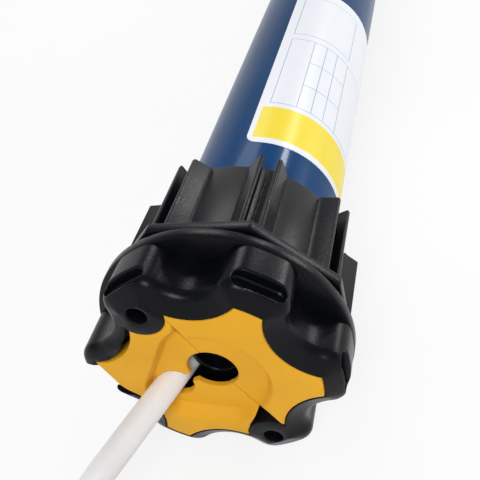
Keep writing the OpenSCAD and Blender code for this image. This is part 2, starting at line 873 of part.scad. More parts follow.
module brake_housing() {
    color([0.3, 0.3, 0.32]) difference() {
        rod(core_r, brake_from, brake_to);
        rod(brake_r + 0.6, brake_from - eps, brake_to - brake_wall);
        rod(shaft_r + 1.5, brake_from, brake_to + eps);
        brake_keys(0.4, brake_from - eps, brake_to - brake_wall);
    }
}

module ring_gear() {
    pitch_r = gear_m * ring_teeth / 2;
    color([0.86, 0.85, 0.8]) difference() {
        rod(core_r, gear_from, gear_to);
        along(gear_from - eps, gear_to + eps)
            polygon(gear_outline(ring_teeth, pitch_r - addendum, pitch_r + dedendum,
                PI * gear_m / 2 + backlash));
    }
}

module spur(teeth, phase, y0, y1) {
    pitch_r = gear_m * teeth / 2;
    along(y0, y1) rotate(phase)
        polygon(gear_outline(teeth, pitch_r - dedendum, pitch_r + addendum, PI * gear_m / 2 - backlash));
}

module sun_pinion() {
    color(brass) difference() {
        spur(sun_teeth, sun_phase, planet_from[0] - 1, planet_from[0] + face_w[0]);
        rod(shaft_r, planet_from[0] - 2, planet_from[0] + face_w[0] + eps);
    }
}

module planet(stage, k) {
    turn = k * planet_step;
    hub = at(orbit_r, turn);
    color([0.88, 0.86, 0.78]) translate([hub.x, 0, hub.y]) difference() {
        spur(planet_teeth, turn * (1 - ring_teeth / planet_teeth), planet_from[stage],
            planet_from[stage] + face_w[stage]);
        rod(pin_r + running_gap, planet_from[stage] - eps, planet_from[stage] + face_w[stage] + eps);
    }
}

module planet_pins(stage, r, y0, y1) {
    for (k = [0 : planets - 1]) {
        hub = at(orbit_r, k * planet_step);
        translate([hub.x, 0, hub.y]) rod(r, y0, y1);
    }
}

module pins(stage) {
    color([0.7, 0.71, 0.73]) planet_pins(stage, pin_r, planet_from[stage] - 0.8, plate_to[stage]);
}

// A carrier plate, with the sun gear of the next stage where there is one
module carrier(stage) {
    color(steel) {
        difference() {
            rod(carrier_r, plate_from[stage], plate_to[stage]);
            planet_pins(stage, pin_r, plate_from[stage] - eps, plate_to[stage] + eps);
        }
        if (stage < 2)
            spur(sun_teeth, sun_phase, plate_to[stage] - 1, planet_from[stage + 1] + face_w[stage + 1]);
    }
}

module planet_1a() {
    planet(0, 0);
}

module planet_1b() {
    planet(0, 1);
}

module planet_1c() {
    planet(0, 2);
}

module planet_2a() {
    planet(1, 0);
}

module planet_2b() {
    planet(1, 1);
}

module planet_2c() {
    planet(1, 2);
}

module planet_3a() {
    planet(2, 0);
}

module planet_3b() {
    planet(2, 1);
}

module planet_3c() {
    planet(2, 2);
}

bush_r = output_r + bush_wall;
bolt_r = 2.5;
flat_half = output_r * cos(30) - 0.1;

module output_bush() {
    color(brass) ring(bush_r, output_r + running_gap, end_from + 2, tube_to + end_rim - 1);
}

module end_flange() {
    color(black) difference() {
        union() {
            rod(core_r, end_from, tube_to);
            rod(tube_r, tube_to, tube_to + end_rim);
        }
        rod(bush_r, end_from - eps, tube_to + end_rim + eps);
        rivet_holes(tube_to - end_len / 2, rivet_r + eps);
    }
}

module output_shaft() {
    color([0.7, 0.71, 0.73]) difference() {
        union() {
            rod(output_r, plate_to[2], wheel_from - 1);
            along(wheel_from - 2, wheel_to) circle(flat_half / cos(30), $fn = 6);
        }
        rod(bolt_r, wheel_to - 16, wheel_to + eps);
    }
}

module drive_wheel() {
    rim_r = wheel_af / 2 / cos(22.5);
    rib_t = 2.6;
    web_t = 4;
    web_from = wheel_from + wheel_len / 2 - web_t / 2;
    color(black) difference() {
        union() {
            along(wheel_from, wheel_to) difference() {
                rotate(22.5) circle(rim_r, $fn = 8);
                rotate(22.5) circle(rim_r - wheel_wall / cos(22.5), $fn = 8);
            }
            rod(wheel_hub_r, wheel_from, wheel_to);
            along(web_from, web_from + web_t) rotate(22.5) circle(rim_r - 1, $fn = 8);
            for (a = [0 : 45 : 315])
                at_angle(a) bar([wheel_hub_r - 1, wheel_af / 2 - 1], [wheel_from + 2, wheel_to - 2],
                    [-rib_t / 2, rib_t / 2]);
        }
        along(wheel_from - eps, wheel_to + eps) circle((flat_half + press_gap) / cos(30), $fn = 6);
    }
}

module wheel_screw() {
    color(steel) {
        ring(wheel_hub_r - 2, bolt_r - 0.2, wheel_to, wheel_to + 1.6);
        rod(bolt_r - press_gap, wheel_to - 12, wheel_to + 2);
        along(wheel_to + 1.6, wheel_to + 5) circle(4.6, $fn = 6);
    }
}

// A round tube along a path
module sweep(path, r, n) {
    rings = len(path);
    last = (rings - 1) * n;
    polyhedron(
        points = [for (i = [0 : rings - 1]) each ring_of(path[i], heading(path, i), r, n)],
        faces = concat(
            [for (i = [0 : rings - 2], j = [0 : n - 1])
                let (a = i * n + j, b = i * n + (j + 1) % n)
                each [[a, b, a + n], [b, b + n, a + n]]],
            [for (j = [1 : n - 2]) [0, j + 1, j]],
            [for (j = [1 : n - 2]) [last, last + j, last + j + 1]]
        )
    );
}

module cable_lead() {
    color(white) sweep(lead_points, cord_d / 2, lead_sides);
}

module cable_coil() {
    color(white) sweep(coil_points, cord_d / 2, coil_sides);
}

tie_turn = 0.84;
tie_w = 4.8;
tie_t = 1;
tie_gap = 0.2;

// A strap round all the strands of the coil
module coil_tie() {
    radii = [for (t = [tie_turn : 1 : coil_turns]) coil_radius(t)];
    low = floor_z + tie_t;
    high = coil_centre.z + (coil_layers - 1) * coil_pitch + cord_d / 2 + tie_gap;
    reach = cord_d / 2 + 4 * tie_gap;
    color(black) translate([coil_centre.x, coil_centre.y, 0]) rotate(coil_start + 360 * tie_turn)
        translate([0, tie_w / 2, 0]) rotate([90, 0, 0]) linear_extrude(tie_w) difference() {
            translate([min(radii) - reach - tie_t, low - tie_t])
                square([max(radii) - min(radii) + 2 * (reach + tie_t), high - low + 2 * tie_t]);
            translate([min(radii) - reach, low])
                square([max(radii) - min(radii) + 2 * reach, high - low]);
        }
}

// The stripped end: one core, at its angle in the sheath
module core(a, r, from, length) {
    turn = atan2(coil_away.y, coil_away.x);
    translate(coil_end) rotate([0, 0, turn]) rotate([0, 90, 0]) translate([
        core_d * 0.6 * cos(a), core_d * 0.6 * sin(a), from
    ]) cylinder(r = r, h = length);
}

module core_brown() {
    color([0.4, 0.24, 0.14]) core(0, core_d / 2, 0, core_len);
}

module core_blue() {
    color([0.12, 0.35, 0.7]) core(120, core_d / 2, 0, core_len);
}

module core_earth() {
    color([0.55, 0.7, 0.15]) core(240, core_d / 2, 0, core_len);
}

module core_ferrules() {
    color(steel) for (a = [0, 120, 240]) core(a, core_d / 3, core_len, 8);
}

head_body();
upper_cover();
cable_cover();
cable_plug();
plug_socket();
socket_pins();
motor_tube();
tube_label();
tube_rivets();
crown();
board_carrier();
control_board();
board_relays();
supply_block();
radio_module();
terminal_block();
run_capacitor();
capacitor_rings();
front_bell();
front_bearing();
stator_core();
stator_windings();
rotor_core();
rotor_shaft();
rear_bell();
rear_bearing();
brake_disc();
brake_plate();
brake_spring();
brake_housing();
ring_gear();
sun_pinion();
planet_1a();
planet_1b();
planet_1c();
pins(0);  // pins_1
carrier(0);  // carrier_1
planet_2a();
planet_2b();
planet_2c();
pins(1);  // pins_2
carrier(1);  // carrier_2
planet_3a();
planet_3b();
planet_3c();
pins(2);  // pins_3
carrier(2);  // carrier_3
output_bush();
output_shaft();
end_flange();
drive_wheel();
wheel_screw();
cable_lead();
cable_coil();
coil_tie();
core_brown();
core_blue();
core_earth();
core_ferrules();
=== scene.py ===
import bpy, bmesh, json, math
import numpy as np
from mathutils import Matrix, Vector
from mathutils.geometry import delaunay_2d_cdt
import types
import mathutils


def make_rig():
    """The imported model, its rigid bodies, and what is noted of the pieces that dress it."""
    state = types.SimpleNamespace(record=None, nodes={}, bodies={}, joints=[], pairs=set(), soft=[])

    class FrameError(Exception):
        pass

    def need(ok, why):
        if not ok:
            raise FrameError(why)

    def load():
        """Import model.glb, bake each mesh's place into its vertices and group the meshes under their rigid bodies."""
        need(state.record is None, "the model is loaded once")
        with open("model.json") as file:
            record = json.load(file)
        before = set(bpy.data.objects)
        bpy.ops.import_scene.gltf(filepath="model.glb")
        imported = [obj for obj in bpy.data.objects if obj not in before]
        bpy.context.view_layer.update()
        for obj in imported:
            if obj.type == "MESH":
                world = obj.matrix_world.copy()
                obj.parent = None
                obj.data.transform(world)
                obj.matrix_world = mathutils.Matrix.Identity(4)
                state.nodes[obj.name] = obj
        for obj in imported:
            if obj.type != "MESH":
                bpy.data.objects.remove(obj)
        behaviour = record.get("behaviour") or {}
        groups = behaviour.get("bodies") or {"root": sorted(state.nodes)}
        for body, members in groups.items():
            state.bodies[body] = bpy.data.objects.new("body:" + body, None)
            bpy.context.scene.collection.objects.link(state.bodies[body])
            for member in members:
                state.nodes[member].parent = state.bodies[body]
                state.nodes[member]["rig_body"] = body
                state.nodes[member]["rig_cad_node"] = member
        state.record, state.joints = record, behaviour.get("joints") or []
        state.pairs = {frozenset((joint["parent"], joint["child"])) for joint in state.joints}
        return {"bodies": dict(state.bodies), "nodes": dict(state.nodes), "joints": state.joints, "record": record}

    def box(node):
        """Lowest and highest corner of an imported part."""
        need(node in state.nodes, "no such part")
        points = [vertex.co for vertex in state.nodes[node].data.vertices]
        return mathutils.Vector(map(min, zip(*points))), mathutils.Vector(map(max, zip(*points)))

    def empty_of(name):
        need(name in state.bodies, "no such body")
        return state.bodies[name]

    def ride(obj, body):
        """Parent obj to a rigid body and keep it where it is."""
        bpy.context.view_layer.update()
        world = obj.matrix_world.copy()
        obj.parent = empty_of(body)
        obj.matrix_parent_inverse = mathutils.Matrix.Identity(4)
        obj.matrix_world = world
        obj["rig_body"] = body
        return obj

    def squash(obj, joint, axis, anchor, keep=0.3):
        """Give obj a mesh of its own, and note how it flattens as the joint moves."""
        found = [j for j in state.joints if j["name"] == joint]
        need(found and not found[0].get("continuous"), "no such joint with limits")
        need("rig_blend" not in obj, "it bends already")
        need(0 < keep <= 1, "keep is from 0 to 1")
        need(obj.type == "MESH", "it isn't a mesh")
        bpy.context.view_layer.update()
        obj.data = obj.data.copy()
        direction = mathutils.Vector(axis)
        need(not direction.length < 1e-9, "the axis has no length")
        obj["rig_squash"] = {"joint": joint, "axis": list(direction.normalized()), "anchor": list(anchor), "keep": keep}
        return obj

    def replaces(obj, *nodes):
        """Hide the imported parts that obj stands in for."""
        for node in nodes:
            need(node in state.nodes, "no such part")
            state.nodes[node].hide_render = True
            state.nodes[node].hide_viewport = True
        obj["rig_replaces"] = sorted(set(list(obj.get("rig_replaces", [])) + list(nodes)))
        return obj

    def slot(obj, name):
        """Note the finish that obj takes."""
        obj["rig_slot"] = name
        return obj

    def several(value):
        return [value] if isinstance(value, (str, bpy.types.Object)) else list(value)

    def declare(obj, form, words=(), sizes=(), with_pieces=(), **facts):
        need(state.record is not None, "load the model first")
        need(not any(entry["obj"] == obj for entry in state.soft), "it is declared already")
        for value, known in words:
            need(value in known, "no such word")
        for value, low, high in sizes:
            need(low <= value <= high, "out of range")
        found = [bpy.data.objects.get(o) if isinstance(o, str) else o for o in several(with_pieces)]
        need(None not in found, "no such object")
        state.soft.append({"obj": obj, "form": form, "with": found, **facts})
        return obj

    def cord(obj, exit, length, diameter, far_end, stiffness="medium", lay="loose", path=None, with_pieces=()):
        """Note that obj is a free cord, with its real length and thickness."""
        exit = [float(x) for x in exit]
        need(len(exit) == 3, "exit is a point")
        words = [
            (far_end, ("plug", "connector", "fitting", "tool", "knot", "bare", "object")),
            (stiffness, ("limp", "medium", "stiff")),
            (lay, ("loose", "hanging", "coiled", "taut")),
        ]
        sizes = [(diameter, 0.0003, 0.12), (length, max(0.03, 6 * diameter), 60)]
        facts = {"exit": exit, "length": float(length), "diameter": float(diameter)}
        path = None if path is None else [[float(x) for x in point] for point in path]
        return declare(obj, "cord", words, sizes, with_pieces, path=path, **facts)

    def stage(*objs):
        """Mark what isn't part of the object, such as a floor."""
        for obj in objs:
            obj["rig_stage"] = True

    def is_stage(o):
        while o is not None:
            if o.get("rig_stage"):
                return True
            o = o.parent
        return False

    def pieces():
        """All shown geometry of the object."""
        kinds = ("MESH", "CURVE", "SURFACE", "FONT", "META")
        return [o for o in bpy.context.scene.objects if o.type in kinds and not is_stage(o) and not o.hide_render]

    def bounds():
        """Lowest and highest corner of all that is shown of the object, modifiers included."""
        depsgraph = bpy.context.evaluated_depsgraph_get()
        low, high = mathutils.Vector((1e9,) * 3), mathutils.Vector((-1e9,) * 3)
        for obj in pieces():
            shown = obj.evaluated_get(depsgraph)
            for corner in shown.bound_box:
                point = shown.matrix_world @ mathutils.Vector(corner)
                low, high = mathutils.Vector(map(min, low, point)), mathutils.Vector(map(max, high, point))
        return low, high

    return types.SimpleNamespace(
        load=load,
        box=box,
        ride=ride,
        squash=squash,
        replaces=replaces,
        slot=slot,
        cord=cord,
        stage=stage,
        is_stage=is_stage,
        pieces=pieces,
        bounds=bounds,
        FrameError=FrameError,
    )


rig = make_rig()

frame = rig.load()
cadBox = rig.bounds()
scene = bpy.context.scene
mm = 0.001
sharpAngle = 34  # edges that turn more than this stay sharp, in degrees
weldGap = 0.002  # points nearer than this become one, in mm
hair = 0.0001  # a distance that counts as none, in mm
softMid = 0.3  # where the middle point of a rounded corner lies
print("frame loaded:", len(frame["nodes"]), "nodes")


# camera, at the photo's angle

cameraSet = {
    "place": (0.053124, -0.095909, 0.131379),
    "right": (0.96096, 0.21392, -0.17549),
    "up": (-0.01104, 0.66338, 0.74820),
    "back": (0.27647, -0.71705, 0.63984),
    "lens": 51.716, "sensor": 36, "nearest": 0.005,
}


def makeCamera(c):
    data = bpy.data.cameras.new("photoCamera")
    data.lens = c["lens"]
    data.sensor_width = c["sensor"]
    data.clip_start = c["nearest"]
    cam = bpy.data.objects.new("photoCamera", data)
    turn = Matrix((c["right"], c["up"], c["back"])).transposed()
    cam.matrix_world = Matrix.Translation(c["place"]) @ turn.to_4x4()
    scene.collection.objects.link(cam)
    scene.camera = cam


makeCamera(cameraSet)


# small mesh tools, all in millimetres until the mesh is made

def polar(r, a):
    return (r * math.cos(math.radians(a)), r * math.sin(math.radians(a)))


def direction(p):
    return math.degrees(math.atan2(p[1], p[0]))


def shifted(p, q):
    return (p[0] + q[0], p[1] + q[1])


def softCorner(a, y, da, dy):
    # three points that round a corner at (a, y), from da beside it to dy along it
    return [(a + da, y), (a + softMid * da, y + softMid * dy), (a, y + dy)]


def smoothFaces(mesh, sharp=sharpAngle):
    mesh.polygons.foreach_set("use_smooth", [True] * len(mesh.polygons))
    mesh.set_sharp_from_angle(angle=math.radians(sharp))


def makePiece(name, verts, faces, sharp=sharpAngle, weld=weldGap):
    mesh = bpy.data.meshes.new(name)
    mesh.from_pydata([tuple(c * mm for c in v) for v in verts], [], faces)
    bm = bmesh.new()
    bm.from_mesh(mesh)
    if weld:
        bmesh.ops.remove_doubles(bm, verts=bm.verts, dist=weld * mm)
        bmesh.ops.dissolve_degenerate(bm, edges=bm.edges, dist=weld * mm / 4)
    bmesh.ops.recalc_face_normals(bm, faces=bm.faces)
    bm.to_mesh(mesh)
    bm.free()
    smoothFaces(mesh, sharp)
    obj = bpy.data.objects.new(name, mesh)
    scene.collection.objects.link(obj)
    return obj


class Shell:
    # gathers loose verts and faces, which makePiece welds
    poleRadius = 0.0005  # stands for 0 at a pole, whose points are then welded

    def __init__(self):
        self.verts, self.faces = [], []

    def add(self, verts, faces):
        n = len(self.verts)
        self.verts += [tuple(v) for v in verts]
        self.faces += [[i + n for i in f] for f in faces]

    def loft(self, loops, startCap=False, endCap=False):
        n = len(loops[0])
        verts = [p for loop in loops for p in loop]
        faces = []
        for k in range(len(loops) - 1):
            for i in range(n):
                j = (i + 1) % n
                faces.append([k * n + i, k * n + j, (k + 1) * n + j, (k + 1) * n + i])
        if startCap:
            faces.append(list(range(n - 1, -1, -1)))
        if endCap:
            faces.append([(len(loops) - 1) * n + i for i in range(n)])
        self.add(verts, faces)

    def turn(self, profile, steps=128, at=(0, 0)):
        # profile of (radius, distance along the motor), turned about an axis along Y
        ring = [polar(1, 360 * i / steps) for i in range(steps)]
        loops = []
        for r, y in profile:
            r = max(r, self.poleRadius)
            loops.append([(at[0] + r * c, y, at[1] + r * s) for c, s in ring])
        self.loft(loops)

    def piece(self, name, **more):
        return makePiece(name, self.verts, self.faces, **more)


def circleLoop(r, n=96, at=(0, 0), start=0):
    return [shifted(at, polar(r, start + 360 * i / n)) for i in range(n)]


def lift(loop, y):
    return [(x, y, z) for x, z in loop]


def turned(loop, a):
    c, s = polar(1, a)
    return [(x * c - z * s, x * s + z * c) for x, z in loop]


def oddCrossings(lines, pts):
    # true for each point from which a ray crosses an odd number of the lines
    x, z = pts[:, 0], pts[:, 1]
    odd = np.zeros(len(pts), bool)
    for (x0, z0), (x1, z1) in lines:
        if z0 != z1:
            odd ^= ((z0 > z) != (z1 > z)) & (x < (x1 - x0) * (z - z0) / (z1 - z0) + x0)
    return odd


def within(loop, pts):
    loop = np.array(loop)
    return oddCrossings(zip(loop, np.roll(loop, -1, 0)), pts)


def spread(loop, step):
    # adds points so that no side is longer than step
    out = []
    for (x0, z0), (x1, z1) in zip(loop, loop[1:] + loop[:1]):
        n = max(1, math.ceil(math.hypot(x1 - x0, z1 - z0) / step))
        out += [(x0 + (x1 - x0) * i / n, z0 + (z1 - z0) * i / n) for i in range(n)]
    return out


def offsetLoop(loop, d, leastTurn=0.35):
    # moves a loop that runs counter-clockwise inwards by d; leastTurn keeps sharp corners from running away
    p = np.array(loop)
    a, b = p - np.roll(p, 1, 0), np.roll(p, -1, 0) - p
    a /= np.linalg.norm(a, axis=1)[:, None]
    b /= np.linalg.norm(b, axis=1)[:, None]
    na, nb = np.stack([-a[:, 1], a[:, 0]], 1), np.stack([-b[:, 1], b[:, 0]], 1)
    n = na + nb
    n /= np.maximum((n * na).sum(1), leastTurn)[:, None]
    return [tuple(q) for q in p + d * n]


def flatRegion(closedLoops, openLines, loosePoints, keep):
    # triangles of the flat region where keep(points) is true; all the lines become edges
    verts, edges = [], []
    for loop in closedLoops:
        n = len(verts)
        verts += loop
        edges += [(n + i, n + (i + 1) % len(loop)) for i in range(len(loop))]
    for line in openLines:
        n = len(verts)
        verts += line
        edges += [(n + i, n + i + 1) for i in range(len(line) - 1)]
    verts = verts + list(loosePoints)
    pts, _, tris, *_ = delaunay_2d_cdt([Vector(v) for v in verts], edges, [], 0, 1e-5)
    pts = np.array([tuple(p) for p in pts])
    tris = np.array([t for t in tris if len(t) == 3])
    tris = tris[keep(pts[tris].mean(1))]
    used = np.unique(tris)
    index = np.full(len(pts), -1)
    index[used] = np.arange(len(used))
    return pts[used], index[tris]


def rim(tris):
    # edges that belong to one triangle only, in their triangle's direction
    count = {}
    for t in tris:
        for a, b in ((t[0], t[1]), (t[1], t[2]), (t[2], t[0])):
            count[(a, b)] = 1
    return [(a, b) for a, b in count if (b, a) not in count]


def rimDistance(pts, edges):
    best = np.full(len(pts), 1e9)
    for a, b in edges:
        p, d = pts[a], pts[b] - pts[a]
        t = np.clip(((pts - p) @ d) / max(d @ d, 1e-12), 0, 1)
        best = np.minimum(best, np.hypot(*(pts - p - t[:, None] * d).T))
    return best


def roundDrop(d, r):
    # how far a rounded edge of radius r falls at distance d from it
    k = np.clip(r - d, 0, r)
    return r - np.sqrt(np.maximum(r * r - k * k, 0))


# the white lead: straight from the plug, down to the floor, then put away in a tied coil

leadSet = {
    "diameter": 7.2, "sides": 20, "stepsPerPoint": 6,
    "points": [
        (-10.75, 8, -5.62), (-13.1, 3, -6.6), (-15.45, -2, -7.58), (-17.81, -7, -8.56),
        (-20.16, -12, -9.54), (-22.5, -17, -10.52), (-25.1, -22.5, -11.7), (-27.9, -27.8, -14.2),
        (-31.6, -33.2, -17.8), (-35.8, -39, -23.4), (-40.4, -45.4, -27.85), (-44.4, -51, -29.15),
        (-48.6, -57, -29.45), (-54, -64.8, -29.45),
    ],
    "coilInner": 31, "coilPitch": 7.8, "layerTurns": 2.75, "turns": 9.25, "layers": 4, "climb": 0.5,
    "ringsPerTurn": 48, "tail": (0.5, 0.97, 1), "endSize": 0.93, "sharp": 50,
}


def smoothThrough(points, steps):
    # a curve through all the points
    p = [Vector(q) for q in points]
    p = [2 * p[0] - p[1]] + p + [2 * p[-1] - p[-2]]
    out = []
    for k in range(1, len(p) - 2):
        a, b, c, d = p[k - 1:k + 3]
        square, cube = 2 * a - 5 * b + 4 * c - d, 3 * b - a - 3 * c + d
        for t in (i / steps for i in range(steps)):
            out.append(0.5 * (2 * b + (c - a) * t + square * t * t + cube * t ** 3))
    return out + [p[-2]]


def leadPath(s):
    lead = smoothThrough(s["points"], s["stepsPerPoint"])
    a, b = Vector(s["points"][-2]), Vector(s["points"][-1])
    along = (b - a).normalized()
    start, outer = direction(along) - 90, s["coilInner"] + s["layerTurns"] * s["coilPitch"]
    entry = b + s["diameter"] * along
    centre = entry - outer * Vector((*polar(1, start), 0))

    def coilPoint(t):
        # t counts turns: a layer winds inwards or outwards, then the lead climbs to the next one
        layer = math.floor(t / s["layerTurns"])
        u = (t - layer * s["layerTurns"]) * s["coilPitch"]
        r = outer - u if layer % 2 == 0 else s["coilInner"] + u
        climbed = [(t - k * s["layerTurns"]) / s["climb"] + 0.5 for k in range(1, s["layers"])]
        rise = sum(min(1, max(0, c)) for c in climbed)
        return centre + Vector((*polar(r, start + 360 * t), rise * s["coilPitch"]))

    n = round(s["turns"] * s["ringsPerTurn"])
    coil = [coilPoint(i / s["ringsPerTurn"]) for i in range(n + 1)]
    away = coil[-1] - coil[-2]
    away.z = 0
    away.normalize()
    tail = [coil[-1] + away * s["diameter"] * k for k in s["tail"]]
    return lead + [b + along * s["diameter"] / 2] + coil + tail, centre, start, coilPoint


def makeLead(s):
    path, centre, start, coilPoint = leadPath(s)
    ring = [polar(1, 360 * k / s["sides"]) for k in range(s["sides"])]
    loops, side, last = [], Vector((1, 0, 0)), len(path) - 1
    for i, p in enumerate(path):
        d = (path[min(i + 1, last)] - path[max(i - 1, 0)]).normalized()
        side = (side - d * side.dot(d)).normalized()
        up = d.cross(side)
        r = s["diameter"] / 2 * (s["endSize"] if i == last else 1)
        loops.append([tuple(p + r * (c * side + q * up)) for c, q in ring])
    shell = Shell()
    shell.loft(loops, startCap=True, endCap=True)
    obj = shell.piece("mainsLead", weld=0, sharp=s["sharp"])
    length = sum((b - a).length for a, b in zip(path, path[1:])) * mm
    return obj, [tuple(p * mm) for p in path], length, (centre, start, coilPoint)


lead, leadLine, leadLength, coilPlace = makeLead(leadSet)
print("lead:", round(leadLength, 3), "m")


# shader tools: a wrapped socket with operators, and a finish that makes any node

class Wire:
    def __init__(self, finish, socket):
        self.finish, self.socket = finish, socket

    def math(self, operation, *others):
        return self.finish.node("Math", {"operation": operation}, dict(enumerate((self, *others))))

    def flipped(self, operation, other):
        return self.finish.node("Math", {"operation": operation}, {0: other, 1: self})

    def __add__(self, o):
        return self.math("ADD", o)

    def __radd__(self, o):
        return self.flipped("ADD", o)

    def __sub__(self, o):
        return self.math("SUBTRACT", o)

    def __rsub__(self, o):
        return self.flipped("SUBTRACT", o)

    def __mul__(self, o):
        return self.math("MULTIPLY", o)

    def __rmul__(self, o):
        return self.flipped("MULTIPLY", o)

    def __gt__(self, o):
        return self.math("GREATER_THAN", o)

    def __lt__(self, o):
        return self.math("LESS_THAN", o)

    def sine(self, rate):
        # rate is in radians for each metre
        return (self * rate).math("SINE")

    def wave(self, rate):
        # a sine from 0 to 1
        return self.sine(rate) * 0.5 + 0.5

    def around(self, amount):
        # noise spread evenly about 0, this wide
        return (self - 0.5) * amount

    def most(self, o):
        return self.math("MAXIMUM", o)

    def least(self, o):
        return self.math("MINIMUM", o)

    def ramp(self, low, high):
        # 0 at low, 1 at high, smooth between
        values = {"Value": self, "From Min": low, "From Max": high}
        return self.finish.node("MapRange", {"interpolation_type": "SMOOTHSTEP"}, values)


class Finish:
    def __init__(self, name):
        self.material = bpy.data.materials.new(name)
        self.material.use_nodes = True
        self.tree = self.material.node_tree
        self.shader = self.tree.nodes["Principled BSDF"]

    def node(self, kind, settings=None, values=None, out=0):
        n = self.tree.nodes.new("ShaderNode" + kind)
        for key, value in (settings or {}).items():
            setattr(n, key, value)
        for key, value in (values or {}).items():
            self.put(n.inputs[key], value)
        return Wire(self, n.outputs[out])

    def put(self, socket, value):
        if isinstance(value, Wire):
            self.tree.links.new(value.socket, socket)
        elif hasattr(socket.default_value, "__len__") and hasattr(value, "__len__"):
            socket.default_value = tuple(value) + (1,) * (len(socket.default_value) - len(value))
        else:
            socket.default_value = value

    def place(self):
        return self.node("TexCoord", out="Object")

    def axes(self):
        split = self.node("SeparateXYZ", {}, {0: self.place()})
        return [Wire(self, s) for s in split.socket.node.outputs]

    def noise(self, scale, detail=3, rough=0.5, place=None, stretch=None):
        at = place or self.place()
        if stretch:
            at = self.node("Mapping", {}, {"Vector": at, "Scale": stretch})
        values = {"Vector": at, "Scale": scale, "Detail": detail, "Roughness": rough}
        return self.node("TexNoise", {}, values)

    def mix(self, share, a, b):
        return self.node("Mix", {"data_type": "RGBA"}, {0: share, 6: a, 7: b}, out=2)

    def bump(self, height, distance, strength=1):
        return self.node("Bump", {}, {"Height": height, "Distance": distance, "Strength": strength})

    def set(self, **values):
        for key, value in values.items():
            self.put(self.shader.inputs[key.replace("_", " ")], value)
        return self.material


def shaded(colour, k):
    return [min(1, c * k) for c in colour]


plasticSet = {
    "cloud": 55, "cloudShare": 0.7, "fineShare": 0.3, "mottle": (0.32, 0.68),
    "fineGloss": 0.16, "cloudGloss": 0.12, "reliefStrength": 0.7,
}


def grainPlastic(name, colour, rough=0.42, grain=0.00002, scale=2600, shade=0.10, specular=0.5):
    # moulded plastic: spark-eroded grain, faint cloudiness, slightly uneven gloss
    f, s = Finish(name), plasticSet
    cloud = f.noise(s["cloud"], 3)
    fine = f.noise(scale, 2, 0.6)
    mottle = (cloud * s["cloudShare"] + fine * s["fineShare"]).ramp(*s["mottle"])
    tone = f.mix(mottle, shaded(colour, 1 - shade), shaded(colour, 1 + shade))
    gloss = fine.around(s["fineGloss"]) + cloud.around(s["cloudGloss"]) + rough
    return f.set(Base_Color=tone, Roughness=gloss, Specular_IOR_Level=specular,
                 Normal=f.bump(fine, grain, s["reliefStrength"]))


paintSet = {
    "colour": (0.008, 0.050, 0.150), "shade": 0.12, "rough": 0.24, "roughSpread": 0.1,
    "coat": 0.065, "coatSpread": 0.04, "coatRough": 0.06, "specular": 0.04,
    "peel": 420, "lines": 900, "lineStretch": (1, 0.02, 1), "cloud": 14, "mottle": (0.3, 0.7),
    "peelShare": 0.7, "lineShare": 0.3, "relief": 0.000012, "reliefStrength": 0.25,
}


def tubeGloss(name, s):
    # stoved gloss paint on drawn tube: clear coat, slight orange peel, fine drawing lines
    f = Finish(name)
    place = f.place()
    peel = f.noise(s["peel"], 2, 0.5, place)
    lines = f.noise(s["lines"], 2, 0.5, place, s["lineStretch"])
    cloud = f.noise(s["cloud"], 2, 0.5, place)
    low, high = (shaded(s["colour"], k) for k in (1 - s["shade"], 1 + s["shade"]))
    surface = f.bump(peel * s["peelShare"] + lines * s["lineShare"], s["relief"], s["reliefStrength"])
    return f.set(Base_Color=f.mix(cloud.ramp(*s["mottle"]), low, high),
                 Roughness=lines.around(s["roughSpread"]) + s["rough"],
                 Coat_Weight=s["coat"] + cloud.around(s["coatSpread"]), Coat_Roughness=s["coatRough"],
                 Specular_IOR_Level=s["specular"], Normal=surface)


metalSet = {
    "markStretch": (0.06, 1, 0.06), "stain": 60, "stainBetween": (0.3, 0.75), "stainTone": 0.8,
    "markGloss": 0.2, "stainGloss": 0.1, "relief": 0.000015, "reliefStrength": 0.6,
}


def turnedMetal(name, colour, rough=0.28, metallic=1.0, scale=1800):
    # fine tool marks round the axis, with a little staining
    f, s = Finish(name), metalSet
    ring = f.noise(scale, 2, 0.55, f.place(), s["markStretch"])
    stain = f.noise(s["stain"], 3)
    tone = f.mix(stain.ramp(*s["stainBetween"]), shaded(colour, s["stainTone"]), colour)
    gloss = ring.around(s["markGloss"]) + stain.around(s["stainGloss"]) + rough
    return f.set(Base_Color=tone, Metallic=metallic, Roughness=gloss,
                 Normal=f.bump(ring, s["relief"], s["reliefStrength"]))


def stackedSheet(name, colour, rate=6283, groove=0.7, stain=80, rough=0.42, metallic=0.9, relief=0.00003):
    # laminations: one thin line for each sheet
    f = Finish(name)
    line = f.axes()[1].wave(rate)
    gloss = f.noise(stain, 3).around(0.2) + rough
    tone = f.mix(line, shaded(colour, groove), colour)
    return f.set(Base_Color=tone, Metallic=metallic, Roughness=gloss, Normal=f.bump(line, relief, 0.6))


def lacqueredWire(name, colour, rate=7000, gapShade=0.6, rough=0.4, metallic=0.7, relief=0.00006):
    # strands side by side, with painted shade darkening the gaps between them
    f = Finish(name)
    x, _, z = f.axes()
    strand = x.wave(rate).least(z.wave(rate))
    # painted shade: the colour is darker in the gaps between strands, where the bump dips
    tone = f.mix(strand, shaded(colour, gapShade), colour)
    return f.set(Base_Color=tone, Metallic=metallic, Roughness=rough - strand * 0.12,
                 Normal=f.bump(strand, relief, 0.8))


def boardFace(name, colour, rates=(2400, 900), trackTone=2.2, speck=500, rough=0.3, relief=0.00003):
    # lacquered circuit board with faint copper tracks
    f = Finish(name)
    x, y, _ = f.axes()
    track = (x.sine(rates[0]) + y.sine(rates[1]) * 0.6).ramp(0.5, 0.7)
    gloss = f.noise(speck, 2).around(0.2) + rough
    tone = f.mix(track, colour, shaded(colour, trackTone))
    return f.set(Base_Color=tone, Roughness=gloss, Normal=f.bump(track, relief, 0.5))


